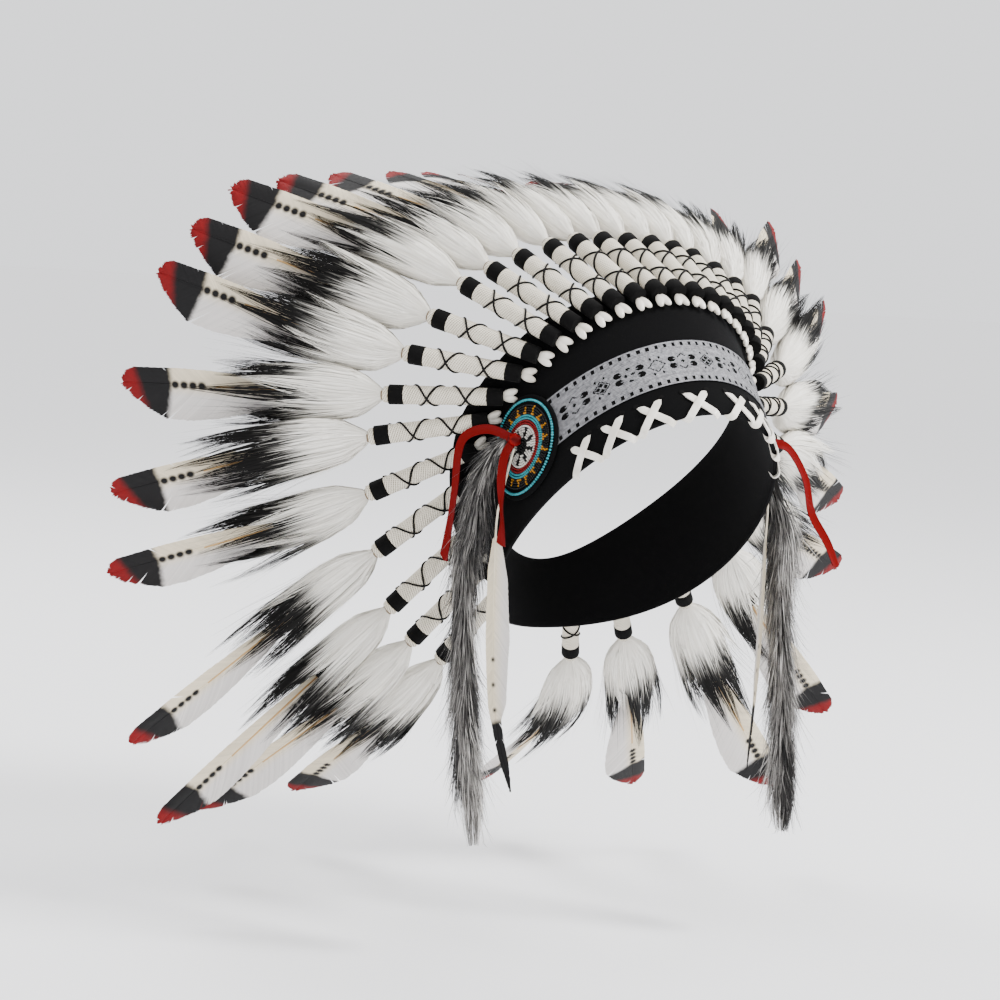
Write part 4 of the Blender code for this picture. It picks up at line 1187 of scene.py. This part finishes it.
def smoothRoute(points, steps):
    ends = [points[0] * 2 - points[1], *points, points[-1] * 2 - points[-2]]
    route = []
    for i in range(len(points) - 1):
        a, b, c, d = ends[i:i + 4]
        for s in range(steps):
            t = s / steps
            route.append(0.5 * ((2 * b) + (c - a) * t + (2 * a - 5 * b + 4 * c - d) * t * t
                                + (3 * b - a - 3 * c + d) * t ** 3))
    return [*route, points[-1]]


def hangingLine(label, piece, side, start, facing, steps=10):  # its outward side turns to facing
    moves = (Vector((out * side, back, up)) for out, back, up in falls[f"{label}_{piece}"])
    route = smoothRoute([start, *(start + move * hanging[piece] for move in moves)], steps)
    lengths = np.concatenate([[0.0], np.cumsum([(b - a).length for a, b in zip(route, route[1:])])])
    sides, outs = [], []
    for i in range(len(route)):
        ahead = (route[min(i + 1, len(route) - 1)] - route[max(i - 1, 0)]).normalized()
        sides.append(Vector(facing).cross(ahead).normalized())
        outs.append(ahead.cross(sides[-1]).normalized() * -1)
    return {"route": route, "length": float(lengths[-1]), "alongs": lengths, "centres": np.array(route),
            "sides": np.array(sides), "outs": np.array(outs)}


def templeKnot(side):
    ring, above, gap = rosette["ring"] * side, rosette["above"], hanging["clearance"]
    lift = band["wall"] / 2 + 2 * gap + trim["thickness"] + rosette["feltThick"]
    lift += gap + hanging["beadwork"] + gap + hanging["knotRadius"] * hanging["knotFlat"]
    return bandAt(ring, above) + bandOut(ring, above) * lift + bandUp(ring) * hanging["knotUp"]


def makeRibbons(side, label):  # a flattened knot, and two tails that fall from it
    knot = templeKnot(side)
    node = "ribbon_tie_" + label
    lump = ball(20, 14, hanging["knotRadius"])
    lump.name = "ribbonKnot_" + label
    outwards = bandOut(rosette["ring"] * side, rosette["above"]).to_track_quat("Z", "Y").to_matrix()
    for vertex in lump.data.vertices:
        co = vertex.co
        fold = 1.0 + 0.10 * math.sin(5 * math.atan2(co.y, co.x) + co.z / (1.2 * mm))
        shape = Vector((co.x * fold * 0.95, co.y * fold * 0.8, co.z * hanging["knotFlat"]))
        vertex.co = outwards @ shape + knot
    finished(lump, "red_ribbon", node, satin, 70)
    for which, twist, turned in (("long", 0.35, -1.0 if side > 0 else 0.0), ("short", 0.9, 0.0)):
        line = hangingLine(label, which, side, knot, (side, -0.45, 0.0), 8)
        length = line["length"]

        def place(u, v):
            turn = twist * math.sin(v * math.pi * 2.2) * v + turned * float(smoothStep(v * 4.0))
            curl = 0.4 * mm * (1 - (2 * u - 1) ** 2)
            cut = 1.0 + (u - 0.5) * 0.06 * v  # the end is cut on the slant
            x = hanging["ribbonWidth"] / 2 * (2 * u - 1)
            return Vector((x * math.cos(turn) - curl * math.sin(turn), length * min(v * cut, 1.02),
                           x * math.sin(turn) + curl * math.cos(turn)))

        piece = gridOver(f"ribbon_{which}_{label}", 4, 44, place, (hanging["ribbonWidth"], length))
        thicken(layAlong(piece, line), hanging["ribbonThick"])
        finished(piece, "red_ribbon", node, satin, 70)
        [tuple(p) for p in line["route"]]


tailLooks = {
    "hairs": 5200, "steps": 6, "hairWidth": 0.55 * mm, "hairLength": (0.024, 0.050), "tufts": 130,
    "shares": (0.0, 0.03, 0.10, 0.28, 0.45, 0.75, 0.92, 1.0),
    "wide": (0.5, 0.8, 1.1, 1.1, 0.8, 1.05, 0.9, 0.35),
}


def makeTail(side, label):
    rng = np.random.default_rng(70 + side)
    look, halfWidth, halfDepth = tailLooks, hanging["tailHalfWidth"], hanging["tailHalfDepth"]
    hairs, tufts, root = look["hairs"], look["tufts"], hanging["tailRoot"]
    between, around, _ = drawsFor(rng, hairs)
    behind = Vector((0.0, hanging["knotRadius"] + root + 2 * hanging["clearance"], root / 2))
    line = hangingLine(label, "tail", side, templeKnot(side) + behind, (side, 0.0, 0.0))
    length = line["length"]
    share = np.linspace(0, 1, look["steps"])[None, :]

    def outline(along):
        return np.interp(along, look["shares"], look["wide"])

    tuft = rng.integers(0, tufts, (hairs, 1))
    tuftPlace, tuftTurn = rng.uniform(0.0, 0.86, tufts), rng.uniform(0, 2 * np.pi, tufts)
    tuftLift = rng.uniform(0.8, 1.4, tufts)
    pale = np.cos(tuftTurn - 0.6) * np.sin(tuftPlace * 17.0 + 1.0)  # patches of pale hair down the tail
    tuftTone = 0.45 * pale + 0.40 * smoothStep((tuftPlace - 0.55) / 0.3) * np.cos(tuftTurn)
    tuftTone = tuftTone + rng.normal(0.0, 0.16, tufts)
    tuftTone -= 0.22 * (1.0 - smoothStep(tuftPlace / 0.4))  # darkest where the tail hangs from its knot
    start = np.clip(tuftPlace[tuft] + around(0.035), 0.0, 0.90)
    turn = tuftTurn[tuft] + around(0.35)
    y = start * length + between(*look["hairLength"]) * mix(0.35, 1.0, smoothStep(start / 0.12)) * share
    fromAxis = mix(outline(start) * 0.35, outline(y / length) * tuftLift[tuft] * 0.95, share ** 0.8)
    fromAxis = fromAxis * between(0.55, 1.0)
    angle = mix(turn, tuftTurn[tuft], share ** 2 * 0.55)
    fromAxis = fromAxis + (rng.random((hairs, 1)) < 0.13) * share ** 2 * between(0.2, 1.1)  # strays
    x, z = halfWidth * fromAxis * np.cos(angle), halfDepth * 1.25 * fromAxis * np.sin(angle)

    def leaning(wide, along, spread):
        ways = np.stack([np.cos(angle) * wide, np.full_like(angle, along), np.sin(angle)], axis=2)
        return ways + rng.normal(0, spread, (hairs, 1, 3))

    hair = {
        "paths": np.stack([x, np.minimum(y, length), z], axis=2), "facing": leaning(1.0, -0.2, 0.4),
        "widths": look["hairWidth"] * between(0.6, 1.2) * (1.0 - share ** 2.5 * 0.9),
        "normals": leaning(0.6, 0.1, 0.35), "dye": np.clip(share + around(0.06), 0, 1),
        "tone": np.clip(0.45 + 0.06 * side + tuftTone[tuft] + around(0.15) + 0 * share, 0, 1),
    }
    along = np.linspace(0.0, 0.93, 26)
    wide = outline(along) * 0.42
    wide[-1] = 0.03
    core = {"shape": tubeMesh(along * length, halfWidth * wide, halfDepth * wide, 10),
            "dye": 0.15, "tone": 0.3}
    made = furPiece("furTail_" + label, hair, core, tailFur, line, 1)
    finished(made, "grey_fur", "fur_tail_" + label)


dropLooks = dict(
    bladeLooks, narrow=5.5 * mm, wide=13 * mm, pitch=1.1 * mm, start=0.26, camber=1.0 * mm, splits=3,
    stem=(0.9 * mm, 0.25 * mm), shaft=shaftKeratin("paleShaftKeratin", "#E2D9C4", "#D9C9A4"), lean=1.3,
    black=46 * mm, blackSlant=0.1, red=-40 * mm, dots=3, dot=1.1 * mm, dotPitch=16 * mm,
    narrowOutline=((0.0, 0.1), (0.26, 0.3), (0.36, 0.9), (0.55, 1.0), (0.75, 0.8), (0.80, 0.55),
                   (0.92, 0.45), (1.0, 0.05)),
    wideOutline=((0.0, 0.1), (0.26, 0.3), (0.38, 0.8), (0.55, 1.0), (0.74, 0.75), (0.79, 0.36),
                 (0.92, 0.30), (1.0, 0.05)))
dropVane = vaneKeratin("plainVaneKeratin", dropLooks)


def makeDrop(side, label):
    below = Vector((0.0, 0.0, hanging["knotRadius"] + hanging["clearance"]))
    line = hangingLine(label, "drop", side, templeKnot(side) - below, (side, -0.47, 0.0))
    line.update(quillEnd=0.0, bladeLength=line["length"])
    made = modelBlade("dropFeather_" + label, line, 90 + side, dropLooks, dropVane)
    finished(layAlong(made, line), "feather", "drop_feather_" + label)


for side, label in ((-1, "right"), (1, "left")):
    for makePiece in (makeRosetteFelt, makeBeads, makeRibbons, makeTail, makeDrop):
        makePiece(side, label)
print("rosettes and what hangs from them done")


# Floor and light

stage = {"floor": -0.268, "pale": "#F1F1F3", "size": 60.0, "horizon": "#EFF0F3", "zenith": "#FFFFFF",
         "strength": 1.75, "aim": (0.0, 0.05, 0.0)}
lamps = (  # name, place, size, power
    ("keyLight", (1.4, -1.4, 1.9), 0.7, 120.0),
    ("fillLight", (-1.8, -1.2, 0.7), 1.8, 3.0),
    ("rimLight", (-0.3, 1.8, 1.9), 1.2, 40.0),
)


def makeStage():
    freshStart()
    bpy.ops.mesh.primitive_plane_add(size=stage["size"], location=(0, 0, stage["floor"]))
    floor = bpy.context.object
    floor.name = "studioFloor"
    bpy.ops.object.transform_apply(location=True, rotation=True, scale=True)
    paintWith(floor, newMaterial("paintedFloor", {"Base Color": linear(stage["pale"]), "Roughness": 0.9}))
    world = bpy.data.worlds.new("studio")
    bpy.context.scene.world = world
    world.use_nodes = True
    place = addNode(world, "TexCoord", {}).outputs["Generated"]
    height = addNode(world, "SeparateXYZ", {0: place}).outputs[2]
    sky = ramped(world, height, (0.0, stage["horizon"]), (1.0, stage["zenith"]))
    background = world.node_tree.nodes["Background"]
    background.inputs["Strength"].default_value = stage["strength"]
    world.node_tree.links.new(sky, background.inputs["Color"])
    for name, spot, size, power in lamps:
        bpy.ops.object.light_add(type="AREA", location=spot)
        lamp = bpy.context.object
        lamp.name = name
        lamp.data.size = size
        lamp.data.energy = power
        lamp.rotation_euler = (Vector(stage["aim"]) - Vector(spot)).to_track_quat("-Z", "Y").to_euler()


makeStage()
